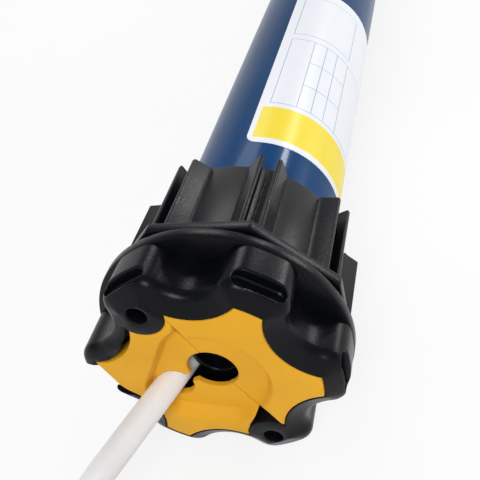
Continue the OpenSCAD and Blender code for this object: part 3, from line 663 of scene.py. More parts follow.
def leadSheath(name, colour, smearScale=70, fineScale=1500, smearTone=0.93, rough=0.42, relief=0.00002):
    # soft extruded sheath: faint smears, very fine grain
    f = Finish(name)
    place = f.place()
    smear = f.noise(smearScale, 3, 0.55, place)
    fine = f.noise(fineScale, 2, 0.5, place)
    tone = f.mix(smear.ramp(0.25, 0.75), shaded(colour, smearTone), colour)
    return f.set(Base_Color=tone, Roughness=smear.around(0.15) + rough,
                 Normal=f.bump(fine * 0.6 + smear * 0.4, relief, 0.5))


# places on the label run along the motor, and across the film from its upper edge
labelSet = {
    "from": 68, "to": 176, "start": 94, "end": -40, "corner": 3.5,
    "radius": 23.65, "lift": 0.15, "seat": 0.01, "step": 1.6, "gridIn": 0.8, "gridAlong": 4, "sharp": 60,
    "band": (70.5, 87.5, 1.7), "table": (90, 134, 60), "columns": (3.6, 12, 16.8, 21.4, 26.9),
    "rows": (104, 119), "second": (138, 170, 27), "line": 0.3, "lineShare": 0.7,
    "white": (0.82, 0.85, 0.90), "yellow": (0.91, 0.72, 0.05), "grey": (0.20, 0.25, 0.36),
    "fibre": 900, "rough": 0.3, "roughSpread": 0.1, "specular": 0.15,
    "relief": 0.000008, "reliefStrength": 0.4,
}


def labelFilm(name, s):
    # white film: a plain yellow band near the head, then the thin lines of an empty table
    f = Finish(name)
    x, y, z = f.axes()
    along = y * (1 / mm)
    across = (math.radians(s["start"]) - z.math("ARCTAN2", x)) * s["radius"]
    fibre = f.noise(s["fibre"], 2)
    half = s["line"] / 2

    def on(value, place):
        return (value - place).math("ABSOLUTE") < half

    def between(value, low, high):
        return (value > low) * (value < high)

    bandLow, bandHigh, bandFrom = s["band"]
    band = between(along, bandLow, bandHigh) * (across > bandFrom)
    low, high, tableEnd = s["table"]
    columns = s["columns"]
    tableFrom = columns[0] - half
    lines = on(along, low).most(on(along, high)) * between(across, tableFrom, tableEnd)
    for place in columns:
        lines = lines.most(on(across, place) * between(along, low, high))
    for place in s["rows"]:
        lines = lines.most(on(along, place) * between(across, columns[1], columns[-1]))
    start, end, wide = s["second"]
    ends = on(along, start).most(on(along, end)) * between(across, tableFrom, wide)
    sides = on(across, columns[0]).most(on(across, wide)) * between(along, start, end)
    lines = lines.most(ends).most(sides)
    tone = f.mix(band, s["white"], s["yellow"])
    tone = f.mix(lines * s["lineShare"], tone, s["grey"])
    return f.set(Base_Color=tone, Roughness=fibre.around(s["roughSpread"]) + s["rough"],
                 Specular_IOR_Level=s["specular"], Normal=f.bump(fibre, s["relief"], s["reliefStrength"]))


finishes = {
    "blackPlastic": grainPlastic("blackPlastic", (0.0030, 0.0034, 0.0054), 0.30, grain=0.00004, scale=1500,
                                 specular=0.14),
    "yellowPlastic": grainPlastic("yellowPlastic", (0.76, 0.385, 0.024), 0.44, shade=0.05, specular=0.1),
    "tubePaint": tubeGloss("tubePaint", paintSet),
    "labelFilm": labelFilm("labelFilm", labelSet),
    "leadSheath": leadSheath("leadSheath", (0.91, 0.91, 0.92)),
    "tieNylon": grainPlastic("tieNylon", (0.03, 0.03, 0.03), 0.35, scale=1200),
    "coreBrown": grainPlastic("coreBrown", (0.13, 0.05, 0.02), 0.35),
    "coreBlue": grainPlastic("coreBlue", (0.02, 0.10, 0.42), 0.35),
    "coreEarth": grainPlastic("coreEarth", (0.30, 0.45, 0.03), 0.35),
    "brightSteel": turnedMetal("brightSteel", (0.58, 0.59, 0.61), 0.25),
    "castAlloy": turnedMetal("castAlloy", (0.66, 0.66, 0.68), 0.42, scale=700),
    "sinteredSteel": turnedMetal("sinteredSteel", (0.30, 0.30, 0.32), 0.5, 0.9, 900),
    "contactBrass": turnedMetal("contactBrass", (0.72, 0.52, 0.22), 0.28),
    "sheetStack": stackedSheet("sheetStack", (0.42, 0.43, 0.45)),
    "winding": lacqueredWire("winding", (0.58, 0.25, 0.10)),
    "board": boardFace("board", (0.02, 0.15, 0.06)),
    "palePlastic": grainPlastic("palePlastic", (0.70, 0.68, 0.62), 0.45),
    "gearPlastic": grainPlastic("gearPlastic", (0.76, 0.73, 0.64), 0.4),
    "partBlue": grainPlastic("partBlue", (0.03, 0.10, 0.34), 0.3),
    "partYellow": grainPlastic("partYellow", (0.72, 0.48, 0.05), 0.3),
    "partDark": grainPlastic("partDark", (0.05, 0.05, 0.055), 0.45),
    "rubber": grainPlastic("rubber", (0.025, 0.025, 0.025), 0.65, scale=1100),
    "lining": grainPlastic("lining", (0.12, 0.09, 0.07), 0.7, grain=0.00006, scale=900),
}
print("finishes:", len(finishes))


def dress(obj, finish, body, slot=None, replaces=()):
    if not obj.data.materials:
        obj.data.materials.append(finishes[finish])
    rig.ride(obj, body)
    if slot:
        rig.slot(obj, slot)
    if replaces:
        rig.replaces(obj, *replaces)
    return obj


# a nylon tie drawn tight round the coil, with its lock on top

tieSet = {
    "turn": 0.84, "width": 4.8, "thick": 1, "gap": 0.12, "edge": 0.25, "steps": 96,
    "lock": (3.4, 3.6, 2.6), "lockCorner": 0.8, "lockOut": 0.1,
    "lockFoot": (0.85, 0.4), "lockTop": (0.8, 0.5),
}


def makeTie(s, lead):
    centre, start, coilPoint = coilPlace
    out = Vector((*polar(1, start + 360 * s["turn"]), 0))
    side = Vector((-out.y, out.x, 0))
    turns = [coilPoint(s["turn"] + k) for k in range(int(lead["turns"] - s["turn"]) + 1)]
    cords = [((p - centre).dot(out), p.z) for p in turns]

    def place(r, z, w):
        return tuple(Vector((centre.x, centre.y, 0)) + out * r + side * w + Vector((0, 0, z)))

    def loop(grow, w):
        # the tightest line round all the cords, moved out by a distance
        pts, reach = [], lead["diameter"] / 2 + grow
        for i in range(s["steps"]):
            c, q = polar(1, 360 * i / s["steps"])
            r, z = max(cords, key=lambda p: p[0] * c + p[1] * q)
            pts.append(place(r + c * reach, z + q * reach, w))
        return pts

    half, e, low = s["width"] / 2, s["edge"], s["gap"]
    high = low + s["thick"]
    section = [(low, -half), (high - e, -half), (high, e - half)]
    section += [(g, -w) for g, w in reversed(section)] + section[:1]
    shell = Shell()
    shell.loft([loop(g, w) for g, w in section])
    r, z = max(cords, key=lambda p: p[1] + s["lockOut"] * p[0])
    z += lead["diameter"] / 2 + low
    (long, wide, tall), k = s["lock"], s["lockCorner"]
    (footSize, footTall), (topSize, topTall) = s["lockFoot"], s["lockTop"]
    outline = [(-1, -k), (-k, -1), (k, -1), (1, -k), (1, k), (k, 1), (-k, 1), (-1, k)]
    layers = ((footSize, 0), (1, footTall), (1, tall - topTall), (topSize, tall))
    loops = []
    for size, h in layers:
        loops.append([place(r + long * size * x, z + h, wide * size * w) for x, w in outline])
    shell.loft(loops, startCap=True, endCap=True)
    return shell.piece("coilTie", weld=0)


dress(lead, "leadSheath", "motor", "cable_sheath", ["cable_lead", "cable_coil"])
tie = dress(makeTie(tieSet, leadSet), "tieNylon", "motor", "tie_nylon", ["coil_tie"])
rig.cord(lead, exit=leadLine[0], length=leadLength, diameter=leadSet["diameter"] * mm, far_end="bare",
        stiffness="medium", lay="coiled", path=leadLine,
        with_pieces=[tie, "core_brown", "core_blue", "core_earth", "core_ferrules"])


# the star head

headSet = {
    "lobe": 28, "lobeHalf": 7, "valley": 21.2, "length": 14.6, "sides": 144,
    "lip": 5.5, "lean": 28, "round": 3.2, "rollAngles": (28, 36, 44, 52, 60, 68, 76, 84, 90),
    "sideLean": 5, "sideRound": 2.4, "sideBlend": (135.5, 157.7, 202.3, 224.5),
    "wallFrom": 1.6, "wallLevels": (6.3, 7.7, 9.2, 11), "frontLevels": (0.07, 0.19, 0.5, 0.9, 1.25),
    "frontStep": 0.9, "depthSteps": 300,
    "bosses": (120, 300), "bossCircle": 25.5, "boss": 6.5, "bossSteps": 90, "bossReach": 1.2,
    "screw": 2.45, "screwDepth": 12, "screwSteps": 48, "screwNear": 0.05, "countersink": 0.45,
    "pocketGap": 0.15, "pocketDepth": 5, "pocketEdge": 0.35, "edgeMid": 0.4,
    "relief": 1.5, "reliefBetween": (128, 172),
    "slotLength": 13.4, "slotWidth": 4.2, "slotFrom": 2.8, "slotDepth": 3, "slotStep": 1.0,
    "slotEdge": 0.45, "slotEdgeAngles": (30, 60, 90), "slotFloorEdge": 0.35,
    "slotRing": 0.7, "slotClear": 0.85,
    "flange": 33.7, "flangeThick": 3.2, "flangeEdge": 0.45, "flangeIn": 1,
    "neck": 23.5, "neckTo": 24.4, "groove": (21.9, 19.9, 22.3), "grooveEdge": 0.05,
    "spigot": 22.5, "spigotTo": 51.4, "spigotWall": 3,
    "cavity": 18.8, "cavityTo": 11, "cavityEdge": 0.5, "cavitySides": 96, "cavityNear": 0.02,
    "hub": (5.4, 6.6, 7.5), "hubEdge": 0.3, "hubBoreEdge": 0.25,
    "tongue": 1.45, "tongueBetween": (171.5, 207.5), "tongueTip": (2.1, -37),
    "tongueSteps": ((-2.2, 11, 32), (-3.2, 15.6, 46)), "tongueFoot": (1.1, 25, 53),
    "channel": (-9, 2.6), "channelBack": (-11.6, 3.8), "channelFrom": -12, "hook": 3.2,
}


def valleyShape(s):
    # a valley's middle and radius, and the direction in which a lobe's corner meets it
    far = s["lobe"] * math.cos(math.radians(30 - s["lobeHalf"]))
    middle = (s["lobe"] ** 2 - s["valley"] ** 2) / (2 * (far - s["valley"]))
    v, c = polar(middle, 30), polar(s["lobe"], s["lobeHalf"])
    return middle, middle - s["valley"], direction((v[0] - c[0], v[1] - c[1]))


def starSector(s, out, corner=7, valley=14, tip=6):
    # one lobe of the outline, from valley to valley, moved out by a distance
    middle, curve, turn = valleyShape(s)
    half = s["lobeHalf"]
    v, c = polar(middle, 30), polar(s["lobe"], half)
    if out < 0:
        reach, wide = s["lobe"] + out, curve - out
        half = 30 - math.degrees(math.acos((reach ** 2 + middle ** 2 - wide ** 2) / (2 * reach * middle)))
        c = polar(reach, half)
        turn = direction((v[0] - c[0], v[1] - c[1]))
    side = [polar(s["lobe"] + out, half * i / tip) for i in range(tip + 1)]
    if out > 0:
        side += [shifted(c, polar(out, half + (turn - half) * i / corner)) for i in range(1, corner + 1)]
    for i in range(1, valley + 1):
        side.append(shifted(v, polar(curve - out, 210 + (turn - 30) * (1 - i / valley))))
    return [(x, -z) for x, z in reversed(side)] + side[1:]


def starLoop(s, out):
    sector = starSector(s, out)
    return [p for k in range(6) for p in turned(sector, 60 * k)[:-1]]


def coverLoop(s, out, relief=0):
    # the covers' outline: the star, with a tongue in place of the lobe on the cable side
    middle, _, turn = valleyShape(s)
    seam = 330  # the middle of a valley, where the outline's points start
    centre = Vector(polar(middle, seam - 180))
    easeFrom, easeTo = s["reliefBetween"]

    def eased(q, a):
        # the pocket is a little wider than the covers in the valley above the tongue
        if not easeFrom < a < easeTo:
            return q
        d = Vector(q) - centre
        off = (direction(d) - seam + 180) % 360 - 180
        return tuple(Vector(q) - d.normalized() * relief * math.cos(math.radians(90 * off / (turn - 30))))

    reach = s["lobe"]
    shape = [(reach + s["tongue"], -s["lobeHalf"], *s["tongueTip"])]
    shape += [(reach + d, a, 1, b) for d, a, b in s["tongueSteps"]]
    shape += [(s["valley"] + d, a, 1, b) for d, a, b in [s["tongueFoot"]]]
    tongue = [shifted(polar(r, 180 + a), polar(m * out, 180 + b)) for r, a, m, b in shape]
    loop = starLoop(s, max(out, hair))
    angle = [direction(p) % 360 for p in loop]
    start, end = s["tongueBetween"]
    first = [eased(p, a) for p, a in zip(loop, angle) if seam <= a or a < start]
    last = [p for p, a in zip(loop, angle) if end < a < seam]
    first.sort(key=lambda q: (direction(q) - seam) % 360)
    last.sort(key=lambda q: direction(q) % 360)
    return first + tongue + last


def bossCentres(s):
    return [polar(s["bossCircle"], a) for a in s["bosses"]]


def nearAny(pts, centres, r):
    return np.any([np.hypot(pts[:, 0] - x, pts[:, 1] - z) < r for x, z in centres], axis=0)


def slotLoop(s, e, n=14):
    # stadium in the lobe's face, made wider by e
    w, end = s["slotWidth"] / 2 + e, (s["slotLength"] - s["slotWidth"]) / 2
    mid = s["slotFrom"] + s["slotWidth"] / 2
    right = [shifted((end, mid), polar(w, -90 + 180 * i / n)) for i in range(n + 1)]
    return spread(right + [(-x, 2 * mid - y) for x, y in right], s["slotStep"])


def lipShape(s, lean, r):
    # how far the lip reaches out at each depth: a leaning front, then a rounded edge
    lean, lip, gap = math.radians(lean), s["lip"], s["pocketGap"]
    frontDeep = (lip - gap - r * (1 - math.sin(lean))) * math.tan(lean)
    deep = frontDeep + r * math.cos(lean)

    def outAt(y):
        if y < frontDeep:
            return gap + y / math.tan(lean)
        return lip - r + math.sqrt(r * r - max(deep - y, 0) ** 2)

    return outAt, [deep - r * math.cos(math.radians(a)) for a in s["rollAngles"]]


def lipReach(s):
    # the lip's reach in general and beside the cable channel, and the depths along its rounded edge
    outAt, roll = lipShape(s, s["lean"], s["round"])
    return outAt, lipShape(s, s["sideLean"], s["sideRound"])[0], roll


def sideShare(s, pts):
    # 1 beside the cable channel, where the lip is blunter, and 0 elsewhere
    a0, a1, a2, a3 = s["sideBlend"]
    a = np.degrees(np.arctan2(pts[:, 1], pts[:, 0])) % 360
    return np.clip((a - a0) / (a1 - a0), 0, 1) * np.clip((a3 - a) / (a3 - a2), 0, 1)


def addLobes(s, shell):
    # wall of one lobe in the flat, with its clip slot, then bent round and repeated
    outAt, sideAt, roll = lipReach(s)
    base = starSector(s, s["lip"])
    size = np.hypot(*np.diff(np.array(base), axis=0).T)
    run = np.concatenate([[0], np.cumsum(size)]) - size.sum() / 2
    levels = [*roll, *s["wallLevels"]]
    outer = [(r, s["wallFrom"]) for r in run] + [(run[-1], y) for y in levels]
    outer += [(r, s["length"]) for r in run[::-1]] + [(run[0], y) for y in levels[::-1]]
    hole, clear = slotLoop(s, s["slotEdge"]), slotLoop(s, s["slotClear"])
    loose = [(r, y) for r in run[1:-1] for y in levels]
    loose = [p for p, near in zip(loose, within(clear, np.array(loose))) if not near]
    pts, tris = flatRegion([outer, hole, slotLoop(s, s["slotRing"])], [], loose,
                           lambda c: within(outer, c) & ~within(hole, c))
    floorX, edge, soft = s["lobe"] + s["lip"] - s["slotDepth"], s["slotEdge"], s["slotFloorEdge"]
    for k in range(6):
        share = sideShare(s, np.array(turned(base, 60 * k)))[:, None]

        def bent(p, sunk=0):
            plain = np.array(starSector(s, outAt(p[1])))
            sector = plain + share * (np.array(starSector(s, sideAt(p[1]))) - plain)
            x, z = np.interp(p[0], run, sector[:, 0]), np.interp(p[0], run, sector[:, 1])
            return (x - sunk, p[1], z)

        def spun(v):
            x, z = turned([(v[0], v[2])], 60 * k)[0]
            return (x, v[1], z)

        deep = [[bent(p) for p in hole]]
        for c, q in (polar(1, a) for a in s["slotEdgeAngles"]):
            deep.append([bent(p, edge * (1 - c)) for p in slotLoop(s, edge * (1 - q))])
        for x, e in ((floorX + soft, 0), (floorX, -soft)):
            deep.append([(x, p[1], bent(p)[2]) for p in slotLoop(s, e)])
        shell.add([spun(bent(p)) for p in pts], tris.tolist())
        shell.loft([[spun(v) for v in loop] for loop in deep], endCap=True)


def addLipFront(s, shell):
    # leaning front of the lip, with the flat bosses, their screw holes and the edge of the pocket
    outAt, sideAt, roll = lipReach(s)
    gap, low, soft, sink = s["pocketGap"], s["wallFrom"], s["pocketEdge"], s["countersink"]
    share = sideShare(s, np.array(starLoop(s, s["lip"])))[:, None]

    def lipLoop(y):
        plain = np.array(starLoop(s, outAt(y)))
        return [tuple(q) for q in plain + share * (np.array(starLoop(s, sideAt(y))) - plain)]

    edge, pocket, centres = lipLoop(low), coverLoop(s, gap, s["relief"]), bossCentres(s)
    pocketLine = spread(pocket, s["frontStep"])
    loops = [edge, pocketLine] + [spread(lipLoop(y), s["frontStep"]) for y in s["frontLevels"]]
    lines = []
    for c in centres:
        for d in (0, soft * s["edgeMid"], soft):
            arc = circleLoop(s["boss"] - d, s["bossSteps"], c, direction(c))
            shown = within(starLoop(s, gap + s["bossReach"]), np.array(arc))
            lines.append([q for q, ok in zip(arc, shown) if ok])
        for d in (0, sink * s["edgeMid"], sink):
            loops.append(circleLoop(s["screw"] + d, s["screwSteps"], c))

    def inPocket(c):
        return within(pocket, c) & ~nearAny(c, centres, s["boss"])

    pts, tris = flatRegion(loops, lines, [],
                           lambda c: within(edge, c) & ~inPocket(c) & ~nearAny(c, centres, s["screw"]))
    edgeSet = {(round(x, 3), round(z, 3)) for x, z in edge}
    onEdge = np.array([(round(x, 3), round(z, 3)) in edgeSet for x, z in pts])
    inner = [(a, b) for a, b in rim(tris) if not (onEdge[a] and onEdge[b])]
    outline, n = np.array(starLoop(s, hair)), len(pts)
    outlineEdges = [(n + i, n + (i + 1) % len(outline)) for i in range(len(outline))]
    away = rimDistance(np.concatenate([pts, outline]), outlineEdges)[:n]
    depths = np.linspace(0, roll[-1], s["depthSteps"])
    plainOut, sideOut = (np.array([at(y) for y in depths]) for at in (outAt, sideAt))
    reaches = [plainOut + w * (sideOut - plainOut) for w in sideShare(s, pts)]
    fall = np.array([np.interp(d, reach, depths) for d, reach in zip(away, reaches)])
    fall[within(starLoop(s, gap), pts)] = 0
    fall[onEdge] = low
    drop = roundDrop(rimDistance(pts, inner), soft)
    drop[onEdge] = 0
    top = [(x, d, z) for (x, z), d in zip(pts, fall + drop)]
    shell.add(top, tris.tolist())
    for a, b in inner:
        hole = nearAny(pts[[a]], centres, s["screw"] + s["screwNear"])[0]
        y = s["screwDepth"] if hole else s["pocketDepth"]
        shell.add([top[a], top[b], (pts[b][0], y, pts[b][1]), (pts[a][0], y, pts[a][1])], [[1, 0, 3, 2]])
    for c in centres:
        floor = circleLoop(s["screw"], s["screwSteps"], c)
        shell.add(lift(floor, s["screwDepth"]), [list(range(len(floor)))])
    return pocketLine, lines[::3], inPocket


def addPocketFloor(s, shell, pocketLine, bossLines, inPocket):
    hole, least = circleLoop(s["cavity"], s["cavitySides"]), s["cavity"] - s["cavityNear"]
    pts, tris = flatRegion([pocketLine, hole], bossLines, [],
                           lambda c: inPocket(c) & (np.hypot(c[:, 0], c[:, 1]) > least))
    shell.add([(x, s["pocketDepth"], z) for x, z in pts], tris.tolist())


def addHeadRounds(s, shell):
    # cavity with its hub, then flange, neck and spigot
    cavity, deepY, c, e, i = s["cavity"], s["cavityTo"], s["cavityEdge"], s["hubEdge"], s["hubBoreEdge"]
    inR, outR, hubY = s["hub"]
    profile = [(cavity, s["pocketDepth"]), (cavity, deepY - c), (cavity - c, deepY)]
    profile += [(outR + e, deepY), (outR, deepY - e), (outR, hubY + e), (outR - e, hubY)]
    profile += [(inR + i, hubY), (inR, hubY + i), (inR, deepY), (0, deepY)]
    shell.turn(profile, s["cavitySides"])
    flange, e, y0 = s["flange"], s["flangeEdge"], s["length"]
    y1 = y0 + s["flangeThick"]
    neck, (g, g0, g1), k = s["neck"], s["groove"], s["grooveEdge"]
    spigot, inside = s["spigot"], s["spigot"] - s["spigotWall"]
    profile = [(s["valley"] - s["flangeIn"], y0), *softCorner(flange, y0, -e, e)]
    profile += [*softCorner(flange, y1, -e, -e)[::-1], (neck, y1)]
    profile += [(neck, g0), (g, g0 + k), (g, g1 - k), (neck, g1), (neck, s["neckTo"])]
    profile += [(spigot, s["neckTo"]), (spigot, s["spigotTo"]), (inside, s["spigotTo"]), (inside, y0)]
    shell.turn(profile, s["sides"])


def makeHead(s):
    shell = Shell()
    addLobes(s, shell)
    addPocketFloor(s, shell, *addLipFront(s, shell))
    addHeadRounds(s, shell)
    return shell.piece("starHead")


def cutChannel(obj, s):
    # opens the lip on the cable side, under the tongue, for a lead that leaves sideways; wider behind the lip
    bm = bmesh.new()
    bm.from_mesh(obj.data)
    step, deep, far = s["hook"] * mm, s["cavityTo"] * mm, -(s["cavity"] - 1) * mm
    tiny, near = 1e-7, 0.01  # in metres and in mm
    front, back = [v * mm for v in s["channel"]], [v * mm for v in s["channelBack"]]
    planes = [(2, z) for z in front + back] + [(1, step), (1, deep)]

    def nearChannel(c):
        return c.x < s["channelFrom"] * mm and c.y < s["length"] * mm + tiny

    def isOpen(c):
        z0, z1 = front if c.y < step - tiny else back
        return c.x < far and z0 < c.z < z1 and c.y < deep - tiny

    for axis, value in planes:
        faces = [f for f in bm.faces if nearChannel(f.calc_center_median())]
        geom = faces + list({e for f in faces for e in f.edges}) + list({v for f in faces for v in f.verts})
        way = Vector((0, 0, 0))
        way[axis] = 1
        bmesh.ops.bisect_plane(bm, geom=geom, dist=tiny, plane_co=way * value, plane_no=way)
    opened = [f for f in bm.faces if isOpen(f.calc_center_median())]
    bmesh.ops.delete(bm, geom=opened, context="FACES")
    loose = [e for e in bm.edges if len(e.link_faces) == 1 and all(v.co.x < far for v in e.verts)]
    for axis, value in planes:
        # a flat wall of the channel inside the open edges that lie in its plane
        other = 3 - axis
        flat = [e for e in loose if all(abs(v.co[axis] - value) < 20 * tiny for v in e.verts)]
        lines = [[(v.co.x / mm, v.co[other] / mm) for v in e.verts] for e in flat]
        ends = {}
        for q in (q for line in lines for q in line):
            ends.setdefault((round(q[0] * 1e3), round(q[1] * 1e3)), []).append(q)
        ends = [v[0] for v in ends.values() if len(v) % 2]
        for level in (step, deep) if axis == 2 else front + back:
            pair = [q for q in ends if abs(q[1] - level / mm) < near]
            if len(pair) == 2:
                lines.append(pair)
        pts, tris = flatRegion([], [list(line) for line in lines], [], lambda c: oddCrossings(lines, c))
        made = []
        for x, q in pts:
            made.append(bm.verts.new((x * mm, value, q * mm) if axis == 1 else (x * mm, q * mm, value)))
        for tri in tris:
            bm.faces.new([made[i] for i in tri])
    bmesh.ops.remove_doubles(bm, verts=bm.verts, dist=weldGap * mm)
    bmesh.ops.recalc_face_normals(bm, faces=bm.faces)
    bm.to_mesh(obj.data)
    bm.free()
    smoothFaces(obj.data)
    return obj


head = dress(cutChannel(makeHead(headSet), headSet), "blackPlastic", "motor", "black_plastic", ["head_body"])
print("head:", len(head.data.polygons), "faces")


# the two covers: a round dish in the upper one, a fan in the cable cover, and a leaning joint between them

coverSet = {
    "thick": 5, "brim": 16, "floor": 13.6, "depth": 3, "reach": 27, "gridStep": 1.3,
    "dishStep": 0.3, "dishPast": 0.4, "dishSides": 132, "holeSides": 90, "roundSides": 72, "floorSides": 60,
    "outlineStep": 0.7, "edgeStep": 0.8, "cutStep": 0.4, "notchStep": 0.5, "leadRings": (0, 0.5),
    # direction, distance from the axis and width of slope of each of the fan's walls
    "fanWalls": ((153.5, 14.7, 1.6), (266, 17.9, 3.3), (210, 18.8, 1.4)),
    "fanCorner": 0.7, "fanSoft": 0.6, "fanLevels": (-0.1, 1.15, 0.1), "bossRim": (8.1, 2.3),
    "fanSweep": (75, 345, 271), "fanReach": 40.0, "halvings": 40,
    "clear": (0.6, -0.3), "floorRings": (8.5, 10),
    "hole": 6.5, "holeRing": (8.9, 1), "cableHole": 4.6, "cableAt": (-10.9, -6.3), "neck": 3, "neckFrom": 2,
    "neckLine": (1, 2, 14),  # where the lines beside the neck start and end, and their points
    "joint": 5.2, "jointAngle": 30, "jointSlope": math.tan(math.radians(51)), "gap": 0.1,
    "edge": 0.55, "edgeSteps": (0, 0.08, 0.22, 0.5, 1), "near": 0.03,
    "notch": [(10.3, -12.1), (7.1, -18.2), (7.1, -24), (18, -24), (18, -12.1)], "leadHole": 3.66,
}


def fanInside(s, x, z):
    # 0 at the brim of the cable cover's fan-shaped recess and 1 on its floor, with rounded corners
    sides = [(d - x * polar(1, a)[0] - z * polar(1, a)[1]) / w for a, d, w in s["fanWalls"]]
    rimR, wide = s["bossRim"]
    sides += [(np.hypot(x - cx, z - cz) - rimR) / wide for cx, cz in bossCentres(headSet)]
    inside, corner = sides[0], s["fanCorner"]
    for side in sides[1:]:
        fillet = np.maximum(corner - np.abs(inside - side), 0) ** 2 / (4 * corner)
        inside = np.minimum(inside, side) - fillet
    return inside


def frontDepth(s, pts, upper):
    # a round dish on the upper cover, a fan that opens towards the joint on the cable cover
    x, z = np.asarray(pts, float).T
    t = (s["brim"] - np.hypot(x, z)) / (s["brim"] - s["floor"]) if upper else fanInside(s, x, z)
    t = np.clip(t, 0, 1)
    blend = t * t * (3 - 2 * t)
    return s["depth"] * (blend if upper else s["fanSoft"] * blend + (1 - s["fanSoft"]) * t * t)


def fanLine(s, level):
    # line of one level on the fan's wall, found outwards along each direction
    a = np.radians(np.linspace(*s["fanSweep"]))
    low, high = np.zeros(len(a)), np.full(len(a), s["fanReach"])
    for _ in range(s["halvings"]):
        mid = (low + high) / 2
        more = fanInside(s, mid * np.cos(a), mid * np.sin(a)) > level
        low, high = np.where(more, mid, low), np.where(more, high, mid)
    return [(r * math.cos(q), r * math.sin(q)) for r, q in zip(low, a)]


def jointLine(s, shift, upper, n=170, rounds=60, pull=0.5):
    # the joint seen from the front: it moves over where the front is deeper
    nx, nz = polar(1, s["jointAngle"])
    t, d = np.linspace(-s["reach"], s["reach"], n + 1), np.full(n + 1, s["joint"])
    for _ in range(rounds):
        depth = frontDepth(s, np.stack([d * nx - t * nz, d * nz + t * nx], 1), upper)
        d = d + pull * (s["joint"] + shift - s["jointSlope"] * depth - d)
    return [(q * nx - u * nz, q * nz + u * nx) for q, u in zip(d, t)]


leadAt = Vector(leadSet["points"][1])
leadWay = (Vector(leadSet["points"][0]) - leadAt).normalized()
leadSide = leadWay.cross(Vector((0, 0, 1))).normalized()
leadUp = leadSide.cross(leadWay)


def leadDistance(pts, y):
    # from points of the cover's front to the middle of the lead
    v = np.stack([pts[:, 0], y, pts[:, 1]], 1) - np.array(leadAt)
    return np.linalg.norm(np.cross(v, np.array(leadWay)), axis=1)


def leadHoleLoop(s, r, n=72, rounds=60, pull=0.4):
    # where a round hole along the lead leaves the dished front
    loop = []
    for c, q in circleLoop(r, n):
        u = 0.0
        for _ in range(rounds):
            p = leadAt + leadWay * u + leadSide * c + leadUp * q
            u += pull * (float(frontDepth(s, [(p.x, p.z)], False)[0]) - p.y)
        loop.append((p.x, p.z))
    return loop


def keyholeCut(s):
    # the straight cut between the two holes, and a way to place points along and across it
    far, half = math.hypot(*s["cableAt"]), s["neck"] / 2
    cx, cz = s["cableAt"][0] / far, s["cableAt"][1] / far

    def at(u, w):
        return (cx * u - cz * w, cz * u + cx * w)

    corners = ((s["neckFrom"], -half), (far, -half), (far, half), (s["neckFrom"], half))
    return [at(u, w) for u, w in corners], at


def coverLines(s, outline, centres, bossEdge, upper):
    # closed loops and open lines that the mesh of a cover's front follows
    soft, steps = s["edge"], s["edgeSteps"]
    loops = [spread(outline, s["outlineStep"])]
    loops += [spread(offsetLoop(outline, soft * k), s["edgeStep"]) for k in steps[1:]]
    for c in centres:
        loops += [circleLoop(bossEdge + soft * k, s["roundSides"], c) for k in steps]
    loops += [circleLoop(s["hole"] + soft * k, s["holeSides"]) for k in steps]
    loops += [circleLoop(r, s["floorSides"]) for r in s["floorRings"]]
    if upper:
        rings = np.arange(s["floor"] - s["dishStep"], s["brim"] + s["dishPast"], s["dishStep"])
        loops += [circleLoop(r, s["dishSides"]) for r in rings]
        return loops, [jointLine(s, s["gap"] + soft * k, upper) for k in steps]
    lines = [jointLine(s, -soft * k, upper) for k in steps]
    lines += [fanLine(s, e) for e in np.arange(*s["fanLevels"])]
    loops += [circleLoop(s["cableHole"] + soft * k, s["roundSides"], s["cableAt"]) for k in steps]
    loops += [leadHoleLoop(s, s["leadHole"] + soft * k) for k in s["leadRings"]]
    cut, at = keyholeCut(s)
    loops += [spread(cut, s["cutStep"]), spread(s["notch"], s["notchStep"])]
    first, last, count = s["neckLine"]
    along = np.linspace(s["hole"] - first, math.hypot(*s["cableAt"]) - last, count)
    for k in steps[1:]:
        e = s["neck"] / 2 + soft * k
        lines += [[at(u, w) for u in along] for w in (-e, e)]
    return loops, lines


